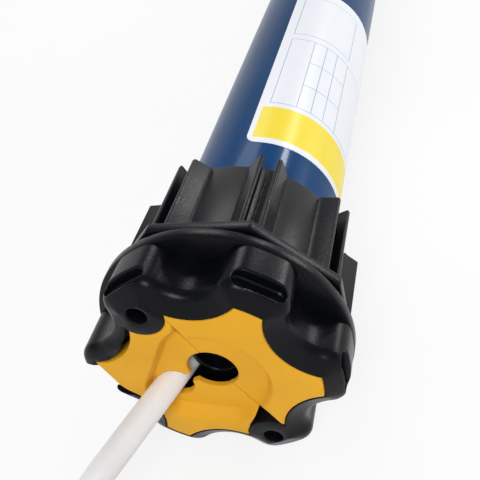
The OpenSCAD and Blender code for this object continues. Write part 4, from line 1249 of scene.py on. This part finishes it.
def makeCover(s, h, name, upper):
    nx, nz = polar(1, s["jointAngle"])
    outline, centres = coverLoop(h, 0), bossCentres(h)
    bossEdge = h["boss"] + s["gap"]
    sign, shift = (1, s["gap"]) if upper else (-1, 0)
    cut, _ = keyholeCut(s)
    dishClear, fanClear = s["clear"]

    def outside(x, z):
        return math.hypot(x, z) > s["brim"] + dishClear if upper else fanInside(s, x, z) < fanClear

    def pastJoint(pts, deep):
        return pts[:, 0] * nx + pts[:, 1] * nz + s["jointSlope"] * deep - s["joint"] - shift

    def keep(c):
        r = np.hypot(c[:, 0], c[:, 1])
        deep = frontDepth(s, c, upper)
        ok = within(outline, c) & ~nearAny(c, centres, bossEdge) & (r > s["hole"])
        ok &= pastJoint(c, deep) * sign > 0
        if not upper:
            ok &= ~nearAny(c, [s["cableAt"]], s["cableHole"]) & ~within(cut, c) & ~within(s["notch"], c)
            ok &= leadDistance(c, deep) > s["leadHole"]
        return ok

    marks = np.arange(-s["reach"], s["reach"] + 1, s["gridStep"])
    grid = [(x, z) for x in marks for z in marks if outside(x, z)]
    pts, tris = flatRegion(*coverLines(s, outline, centres, bossEdge, upper), grid, keep)
    border = rim(tris)
    deep = frontDepth(s, pts, upper)
    slant = np.abs(leadDistance(pts, deep) - s["leadHole"]) < s["near"]
    rounded = [(a, b) for a, b in border if upper or not (slant[a] and slant[b])]
    y = deep + roundDrop(rimDistance(pts, rounded), s["edge"])
    top = [(x, d, z) for (x, z), d in zip(pts, y)]
    shell = Shell()
    shell.add(top, tris.tolist())
    onJoint = np.abs(pastJoint(pts, deep)) < s["near"]
    ringWide, ringThick = s["holeRing"]
    inRing = np.hypot(pts[:, 0], pts[:, 1]) < ringWide

    def foot(i):
        # the point behind a point of the rim: along the lead, down the leaning joint, or straight back
        if slant[i] and not upper:
            k = (s["thick"] - y[i]) / leadWay.y
            return (pts[i][0] + leadWay.x * k, s["thick"], pts[i][1] + leadWay.z * k)
        low = y[i] + ringThick if inRing[i] else s["thick"]
        slide = s["jointSlope"] * (low - y[i]) if onJoint[i] and upper else 0
        return (pts[i][0] - nx * slide, low, pts[i][1] - nz * slide)

    for a, b in border:
        shell.add([top[a], top[b], foot(b), foot(a)], [[1, 0, 3, 2]])
    return shell.piece(name, weld=weldGap / 2)


for name, upper, node in (("upperCover", True, "upper_cover"), ("cableCover", False, "cable_cover")):
    cover = makeCover(coverSet, headSet, name, upper)
    dress(cover, "yellowPlastic", "motor", "yellow_plastic", [node])
    print(name + ":", len(cover.data.polygons), "faces")


# what shows through the cover's hole: the lead's last stretch and the plug that it ends in

plugSet = {"radius": 5.5, "from": 9.9, "to": 14.7, "edge": 0.4, "sheath": (0.02, 3), "steps": 48}


def makePlug(s):
    r, e, y0, y1 = s["radius"], s["edge"], s["from"], s["to"]
    shell = Shell()
    shell.turn([(0, y0), (r - e, y0), (r, y0 + e), (r, y1), (0, y1)], s["steps"], coverSet["cableAt"])
    return shell.piece("plugBody")


def makeLeadEnd(s, lead):
    start, ring = Vector(lead["points"][0]), circleLoop(lead["diameter"] / 2, s["steps"])
    loops = [[tuple(start + leadWay * k + leadSide * c + leadUp * q) for c, q in ring] for k in s["sheath"]]
    shell = Shell()
    shell.loft(loops, startCap=True, endCap=True)
    return shell.piece("leadEnd")


dress(makePlug(plugSet), "blackPlastic", "motor", "black_plastic", ["cable_plug"])
dress(makeLeadEnd(plugSet, leadSet), "leadSheath", "motor", "cable_sheath")
print("plug made")


# geometry nodes: copies of a piece in a ring about the motor's axis

def ringTree():
    tree = bpy.data.node_groups.new("ringOfCopies", "GeometryNodeTree")
    for name, kind, way in (("Piece", "Geometry", "INPUT"), ("Copies", "Int", "INPUT"),
                            ("First angle", "Float", "INPUT"), ("Finish", "Material", "INPUT"),
                            ("Ring", "Geometry", "OUTPUT")):
        tree.interface.new_socket(name, in_out=way, socket_type="NodeSocket" + kind)
    add, link = tree.nodes.new, tree.links.new
    start, end, index = add("NodeGroupInput"), add("NodeGroupOutput"), add("GeometryNodeInputIndex")
    points, place = add("GeometryNodePoints"), add("GeometryNodeInstanceOnPoints")
    real, paint = add("GeometryNodeRealizeInstances"), add("GeometryNodeSetMaterial")
    share, step, total = (add("ShaderNodeMath") for _ in range(3))
    turn = add("ShaderNodeCombineXYZ")
    share.operation, step.operation, total.operation = "DIVIDE", "MULTIPLY", "ADD"
    step.inputs[1].default_value = 2 * math.pi
    link(start.outputs["Copies"], points.inputs["Count"])
    link(index.outputs[0], share.inputs[0])
    link(start.outputs["Copies"], share.inputs[1])
    link(share.outputs[0], step.inputs[0])
    link(step.outputs[0], total.inputs[0])
    link(start.outputs["First angle"], total.inputs[1])
    link(total.outputs[0], turn.inputs[1])
    link(points.outputs[0], place.inputs["Points"])
    link(start.outputs["Piece"], place.inputs["Instance"])
    link(turn.outputs[0], place.inputs["Rotation"])
    link(place.outputs[0], real.inputs[0])
    link(real.outputs[0], paint.inputs["Geometry"])
    link(start.outputs["Finish"], paint.inputs["Material"])
    link(paint.outputs[0], end.inputs[0])
    return tree


ringOfCopies = ringTree()


def ringed(obj, copies, first, finish):
    # first is an angle seen from the head, in degrees
    mod = obj.modifiers.new("ring", "NODES")
    mod.node_group = ringOfCopies
    ids = {i.name: i.identifier for i in ringOfCopies.interface.items_tree if i.in_out == "INPUT"}
    mod[ids["Copies"]] = copies
    mod[ids["First angle"]] = math.radians(-first)
    mod[ids["Finish"]] = finishes[finish]
    whole = bpy.data.meshes.new_from_object(obj.evaluated_get(bpy.context.evaluated_depsgraph_get()))
    obj.modifiers.remove(mod)
    old, obj.data = obj.data, whole
    bpy.data.meshes.remove(old)
    obj.data.name = obj.name
    return obj


# the crown: octagonal flange, sleeve and eight pairs of ribs

crownSet = {
    "from": 19.1, "flangeTo": 22.4, "to": 51.1, "turn": 25.3, "sides": 144,
    "corner": 34.25, "cornerRound": 1.2, "edge": 0.45,
    "sleeve": 27.2, "sleeveFoot": 0.5, "bore": 23.56, "boreEdge": 0.3, "endRound": 0.4, "ribPairs": 8,
    "ribTip": 31.6, "ribFoot": 5.1, "ribTipHalf": 3.1, "ribSlot": 3.6, "ribSunk": 0.4,
    # rounding of a rib's corners and of the slot between the two, as (outwards, sideways) steps
    "footRound": ((-0.5, 0.25), (0.15, 0.05), (0.6, -0.35)),
    "tipRound": ((-0.45, 0.12), (-0.12, -0.08), (0, -0.4)),
    "slotTipRound": ((0, 0.35), (-0.1, 0.1), (-0.35, 0)),
    "slotFootRound": ((0.75, 0), (0.3, -0.15), (0.2, -0.5)),
    "slotRidge": ((0.2, 0.32), (0.7, 0.22), (0.75, 0.12)),
    "ribEnd": ((0.06, 0.25), (0.18, 0)),
}


def roundedPolygon(points, radius, n=5):
    out = []
    for k, p in enumerate(points):
        p = Vector(p)
        a = (Vector(points[k - 1]) - p).normalized()
        b = (Vector(points[(k + 1) % len(points)]) - p).normalized()
        half = a.angle(b) / 2
        mid = p + (a + b).normalized() * (radius / math.sin(half))
        t0, t1 = (p + way * (radius / math.tan(half)) - mid for way in (a, b))
        sweep = t0.angle_signed(t1)
        for i in range(n + 1):
            v = t0.copy()
            v.rotate(Matrix.Rotation(-sweep * i / n, 2))
            out.append(tuple(mid + v))
    return out


def octagon(r, start, soft):
    return roundedPolygon([polar(r, start + 45 * k) for k in range(8)], soft)


def addPlate(shell, edge, hole, y):
    # a flat face between an outline and a hole
    pts, tris = flatRegion([edge, hole], [], [], lambda c: within(edge, c) & ~within(hole, c))
    shell.add([(x, y, z) for x, z in pts], tris.tolist())


def softSlab(shell, loop, hole, y0, y1, soft):
    # a plate with rounded outer edges and a round hole
    shape = softCorner(0, y0, soft, soft) + softCorner(0, y1, soft, -soft)[::-1]
    shell.loft([lift(offsetLoop(loop, d), y) for d, y in shape])
    inner = circleLoop(hole)
    for y in (y0, y1):
        addPlate(shell, offsetLoop(loop, soft), inner, y)
    shell.loft([lift(inner, y0), lift(inner, y1)])


def makeCrown(s):
    shell = Shell()
    flange = octagon(s["corner"], s["turn"], s["cornerRound"])
    softSlab(shell, flange, s["bore"], s["from"], s["flangeTo"], s["edge"])
    r, e, b, k = s["sleeve"], s["endRound"], s["bore"], s["boreEdge"]
    y0, y1, foot = s["flangeTo"], s["to"], s["sleeveFoot"]
    profile = [(b, y0 - foot), (r + foot, y0), (r, y0 + foot), *softCorner(r, y1, -e, -e)[::-1]]
    profile += [(b + k, y1), (b, y1 - k), (b, y0 - foot)]
    shell.turn(profile, s["sides"])
    return shell.piece("crownRing")


def makeRibPair(s):
    r, tip, slot = s["sleeve"], s["ribTip"], s["ribSlot"] / 2
    corners = {
        "footRound": (r, s["ribFoot"]), "tipRound": (tip, s["ribTipHalf"]), "slotTipRound": (tip, slot),
        "slotFootRound": (r, slot), "slotRidge": (r, 0),
    }
    side = [shifted(p, d) for key, p in corners.items() for d in s[key]]
    loop = [(x, -z) for x, z in side] + side[::-1]
    y0, y1, e = s["flangeTo"] - s["ribSunk"], s["to"], s["endRound"]
    shell = Shell()
    ends = [(offsetLoop(loop, d), y1 - k * e) for d, k in s["ribEnd"]]
    shell.loft([lift(loop, y0), lift(loop, y1 - e)] + [lift(end, y) for end, y in ends])
    edge = ends[-1][0]
    pts, tris = flatRegion([edge], [], [], lambda c: within(edge, c))
    shell.add([(x, y1, z) for x, z in pts], tris.tolist())
    return shell.piece("crownRibs")


crownRing = dress(makeCrown(crownSet), "blackPlastic", "crown", "black_plastic", ["crown"])
crownRibs = ringed(makeRibPair(crownSet), crownSet["ribPairs"], crownSet["turn"], "blackPlastic")
dress(crownRibs, "blackPlastic", "crown", "black_plastic")
print("crown:", len(crownRing.data.polygons) + len(crownRibs.data.polygons), "faces")


# the tube, its rivets and its label

tubeSet = {
    "outer": 23.5, "wall": 0.9, "edge": 0.2, "rows": 12, "sides": 192,
    "rivets": 3, "rivetTurn": 90, "rivet": 1.6, "rivetHead": 2.4, "rivetRise": 0.3, "rivetSunk": 0.35,
    "rivetFlat": 0.02, "rivetDome": ((0.92, 0.6), (0.7, 1)), "rivetSides": 24,
}
tubeLow, tubeHigh = (v.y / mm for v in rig.box("motor_tube"))


def makeTube(s):
    r, e, y0, y1, n = s["outer"], s["edge"], tubeLow, tubeHigh, s["rows"]
    inside = r - s["wall"]
    profile = [(inside, y0), (r - e, y0), (r, y0 + e)]
    profile += [(r, y0 + (y1 - y0) * k / n) for k in range(1, n)]
    profile += [(r, y1 - e), (r - e, y1), (inside, y1), (inside, y0)]
    shell = Shell()
    shell.turn(profile, s["sides"])
    return shell.piece("motorTube")


def makeRivets(s):
    # one flat rivet head near the far end of the tube, then a ring of them
    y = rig.box("tube_rivets")[1].y / mm - s["rivet"]
    r, rise, flat, n = s["rivetHead"], s["rivetRise"], s["rivetFlat"], s["rivetSides"]
    dome = [(r * a, rise * b) for a, b in s["rivetDome"]]
    rings = [(r, -s["rivetSunk"]), (r, flat), *dome, (flat, rise)]
    shell = Shell()
    shell.loft([[(s["outer"] + h, y + c, z) for c, z in circleLoop(q, n)] for q, h in rings])
    return shell.piece("tubeRivets")


def makeLabel(s, r):
    span, low, high = math.radians(s["start"] - s["end"]) * r, s["from"], s["to"]
    corners = [(0, low), (span, low), (span, high), (0, high)]
    loop = spread(roundedPolygon(corners, s["corner"]), s["step"])
    across = np.arange(s["gridIn"], span, s["step"])
    along = np.arange(low + s["gridIn"], high, s["gridAlong"])
    pts, tris = flatRegion([loop], [], [(x, y) for x in across for y in along], lambda q: within(loop, q))

    def bent(p, rise):
        x, z = polar(r + rise, s["start"] - math.degrees(p[0] / r))
        return (x, p[1], z)

    shell = Shell()
    shell.add([bent(p, s["lift"]) for p in pts], tris.tolist())
    shell.loft([[bent(p, rise) for p in loop] for rise in (s["lift"], s["seat"])])
    return shell.piece("tubeLabel", sharp=s["sharp"])


dress(makeTube(tubeSet), "tubePaint", "motor", "tube_paint", ["motor_tube"])
rivets = ringed(makeRivets(tubeSet), tubeSet["rivets"], tubeSet["rivetTurn"], "brightSteel")
dress(rivets, "brightSteel", "motor", "bright_steel", ["tube_rivets"])
dress(makeLabel(labelSet, tubeSet["outer"]), "labelFilm", "motor", "label_film", ["tube_label"])
print("tube and label made")


# the driven end: flange, octagonal wheel with ribs

wheelSet = {
    "flats": 59, "wall": 3.5, "edge": 0.8, "innerEdge": 0.3, "cornerRound": 1.4, "web": 4, "webIn": 0.5,
    "hub": 13, "hubEdge": 0.6, "hubSides": 96, "webSides": 64, "bore": 6.9, "boreEdge": 0.5,
    "ribs": 8, "ribTurn": 0, "rib": 2.6, "ribIn": 2, "ribEnds": (0.6, 0.5), "ribRound": (0.6, 0.2),
}
wheelLow, wheelHigh = (v.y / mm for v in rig.box("drive_wheel"))


def makeWheel(s):
    y0, y1, e, k = wheelLow, wheelHigh, s["edge"], s["innerEdge"]
    half = 22.5  # degrees from the middle of a flat to its corner
    share = math.cos(math.radians(half))
    corner = s["flats"] / 2 / share
    outer = octagon(corner, half, s["cornerRound"])
    inner = octagon(corner - s["wall"] / share, half, s["cornerRound"])
    shape = [(outer, d, y) for d, y in softCorner(0, y0, e, e) + softCorner(0, y1, e, -e)[::-1]]
    shape += [(inner, -k, y1), (inner, 0, y1 - k), (inner, 0, y0 + k), (inner, -k, y0), (outer, e, y0)]
    shell = Shell()
    shell.loft([lift(offsetLoop(loop, d), y) for loop, d, y in shape])
    middle = (y0 + y1) / 2
    for y in (middle - s["web"] / 2, middle + s["web"] / 2):
        hole = circleLoop(s["hub"] - s["webIn"], s["webSides"])
        addPlate(shell, offsetLoop(inner, -s["webIn"]), hole, y)
    h, e, b, k = s["hub"], s["hubEdge"], s["bore"], s["boreEdge"]
    profile = [(b, y0 + k), (b + k, y0), (h - e, y0), (h, y0 + e), (h, y1 - e), (h - e, y1)]
    profile += [(b + k, y1), (b, y1 - k), (b, y0 + k)]
    shell.turn(profile, s["hubSides"])
    return shell.piece("driveWheel")


def makeWheelRib(s):
    # one rounded rib between hub and rim
    y0, y1, t = wheelLow + s["ribIn"], wheelHigh - s["ribIn"], s["rib"] / 2
    (e, m), (hubEnd, rimEnd) = s["ribRound"], s["ribEnds"]
    side = [(y0, t - e), (y0 + m, t - m), (y0 + e, t), (y1 - e, t), (y1 - m, t - m), (y1, t - e)]
    other = [(y, -z) for y, z in reversed(side)]
    section = other[-1:] + side + other[:-1]
    ends = (s["hub"] - hubEnd, s["flats"] / 2 - s["wall"] + rimEnd)
    shell = Shell()
    shell.loft([[(x, y, z) for y, z in section] for x in ends], startCap=True, endCap=True)
    return shell.piece("wheelRibs")


endSet = {
    "rim": 23.5, "edge": 0.6, "seat": 1, "bush": 11, "boreEdge": 0.4,
    "groove": (2, 5, 0.6), "grooveLean": 0.4,
}


def makeEnd(s):
    low, high = (v.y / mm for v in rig.box("end_flange"))
    r, e, b, k, lean = s["rim"], s["edge"], s["bush"], s["boreEdge"], s["grooveLean"]
    seat, (g0, g1, deep) = r - s["seat"], s["groove"]
    profile = [(b, low), (seat, low), (seat, tubeHigh), (r, tubeHigh), *softCorner(r, high, -e, -e)[::-1]]
    profile += [(b + g1, high), (b + g1 - lean, high - deep), (b + g0 + lean, high - deep), (b + g0, high)]
    profile += [(b + k, high), (b, high - k), (b, low)]
    shell = Shell()
    shell.turn(profile)
    return shell.piece("endFlange")


dress(makeWheel(wheelSet), "blackPlastic", "output", "black_plastic", ["drive_wheel"])
wheelRibs = ringed(makeWheelRib(wheelSet), wheelSet["ribs"], wheelSet["ribTurn"], "blackPlastic")
dress(wheelRibs, "blackPlastic", "output", "black_plastic")
dress(makeEnd(endSet), "blackPlastic", "motor", "black_plastic", ["end_flange"])
print("driven end made")


# the brake's spring, which shortens as the brake plate slides back

springSet = {"joint": "brake_slide", "travel": 0.8, "weld": 0.001}


def makeSpring(s):
    mesh, bm = bpy.data.meshes.new("brakeSpring"), bmesh.new()
    bm.from_mesh(frame["nodes"]["brake_spring"].data)
    bmesh.ops.remove_doubles(bm, verts=bm.verts, dist=s["weld"] * mm)
    bm.to_mesh(mesh)
    bm.free()
    mesh.materials.clear()
    mesh.materials.append(finishes["brightSteel"])
    obj = bpy.data.objects.new("brakeSpring", mesh)
    scene.collection.objects.link(obj)
    return obj


spring = dress(makeSpring(springSet), "brightSteel", "motor", "bright_steel", ["brake_spring"])
springY = [v.co.y for v in spring.data.vertices]
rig.squash(spring, springSet["joint"], axis=(0, 1, 0), anchor=(0, max(springY), 0),
          keep=1 - springSet["travel"] * mm / (max(springY) - min(springY)))
print("spring made")


# CAD pieces that stay as they are, by finish

keptFinishes = {
    "palePlastic": ["plug_socket", "board_carrier"],
    "contactBrass": ["socket_pins", "sun_pinion", "output_bush"],
    "board": ["control_board"],
    "partBlue": ["board_relays", "radio_module"],
    "partYellow": ["supply_block"],
    "partDark": ["terminal_block", "brake_housing"],
    "castAlloy": ["run_capacitor", "front_bell", "rear_bell"],
    "rubber": ["capacitor_rings"],
    "sheetStack": ["stator_core", "rotor_core"],
    "winding": ["stator_windings"],
    "lining": ["brake_disc"],
    "brightSteel": ["front_bearing", "rear_bearing", "rotor_shaft", "pins_1", "pins_2", "pins_3",
                    "output_shaft", "wheel_screw", "core_ferrules"],
    "sinteredSteel": ["brake_plate", "carrier_1", "carrier_2", "carrier_3",
                      "planet_3a", "planet_3b", "planet_3c"],
    "gearPlastic": ["ring_gear"] + ["planet_" + stage + each for stage in "12" for each in "abc"],
    "coreBrown": ["core_brown"],
    "coreBlue": ["core_blue"],
    "coreEarth": ["core_earth"],
}
for finish, nodes in keptFinishes.items():
    for node in nodes:
        frame["nodes"][node].data.materials.clear()
        frame["nodes"][node].data.materials.append(finishes[finish])
print("kept pieces:", sum(len(nodes) for nodes in keptFinishes.values()))


# floor, world and lamps

stageSet = {
    "floor": -34.25, "size": 80, "floorTone": 0.9, "floorShade": 0.03, "floorSpeck": 30, "floorRough": 0.8,
    "lifted": 0.82,
    "sky": (0.1, 0.5, 0.95, 0.32),  # the height where it starts to dim and ends, and its strength at both
    "lamps": [
        ("back", (-0.24, 0.8, 0.68), (0, 0.05, 0), 0.35, 2.4),
        ("strip", (0.4, 1.02, 0.62), (0, 0.07, 0.01), 0.1, 2.0),
        ("right", (0.65, 0.7, 0.32), (0, 0.05, 0), 0.25, 2.1),
        ("front", (0.08, -0.56, 0.64), (0, 0, 0), 0.3, 3.85),
    ],
}


def makeSky(s):
    world = bpy.data.worlds.new("studio")
    scene.world = world
    world.use_nodes = True
    nodes, link = world.node_tree.nodes, world.node_tree.links.new
    way, split = nodes.new("ShaderNodeTexCoord"), nodes.new("ShaderNodeSeparateXYZ")
    level = nodes.new("ShaderNodeMapRange")
    level.interpolation_type = "SMOOTHSTEP"
    for key, value in zip(("From Min", "From Max", "To Min", "To Max"), s["sky"]):
        level.inputs[key].default_value = value
    link(way.outputs["Generated"], split.inputs[0])
    link(split.outputs["Z"], level.inputs["Value"])
    link(level.outputs[0], nodes["Background"].inputs["Strength"])
    nodes["Background"].inputs["Color"].default_value = (1, 1, 1, 1)


def makeFloor(s):
    # bright to the camera and in reflections, yet it keeps the shadows
    f = Finish("studioFloor")
    tones = [[tone] * 3 for tone in (s["floorTone"], s["floorTone"] + s["floorShade"])]
    f.set(Base_Color=f.mix(f.noise(s["floorSpeck"], 2), *tones), Roughness=s["floorRough"])
    bright = f.node("Emission", {}, {"Color": (1, 1, 1), "Strength": 1})
    seen = [f.node("LightPath", out="Is %s Ray" % kind) for kind in ("Camera", "Glossy", "Transmission")]
    shown = seen[0].most(seen[1]).most(seen[2])
    both = f.node("MixShader", {}, {0: shown * s["lifted"], 1: Wire(f, f.shader.outputs[0]), 2: bright})
    f.put(f.tree.nodes["Material Output"].inputs["Surface"], both)
    e, z = s["size"] / 2 / mm, s["floor"]
    corners = [(-e, -e, z), (e, -e, z), (e, e, z), (-e, e, z)]
    floor = makePiece("studioFloor", corners, [[0, 1, 2, 3]], weld=0)
    floor.data.materials.append(f.material)
    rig.stage(floor)


def makeLamps(s):
    for name, place, target, size, power in s["lamps"]:
        lamp = bpy.data.lights.new(name, "AREA")
        lamp.energy, lamp.size = power, size
        obj = bpy.data.objects.new(name, lamp)
        obj.location = place
        obj.rotation_euler = (Vector(target) - Vector(place)).to_track_quat("-Z", "Y").to_euler()
        scene.collection.objects.link(obj)


makeSky(stageSet)
makeFloor(stageSet)
makeLamps(stageSet)
scene.view_settings.view_transform = "Standard"
print("stage made")

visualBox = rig.bounds()
with open("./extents.json", "w") as out:
    json.dump({"cad": [list(v) for v in cadBox], "visual": [list(v) for v in visualBox]}, out)
print("size:", [round(v, 4) for v in visualBox[1] - visualBox[0]])
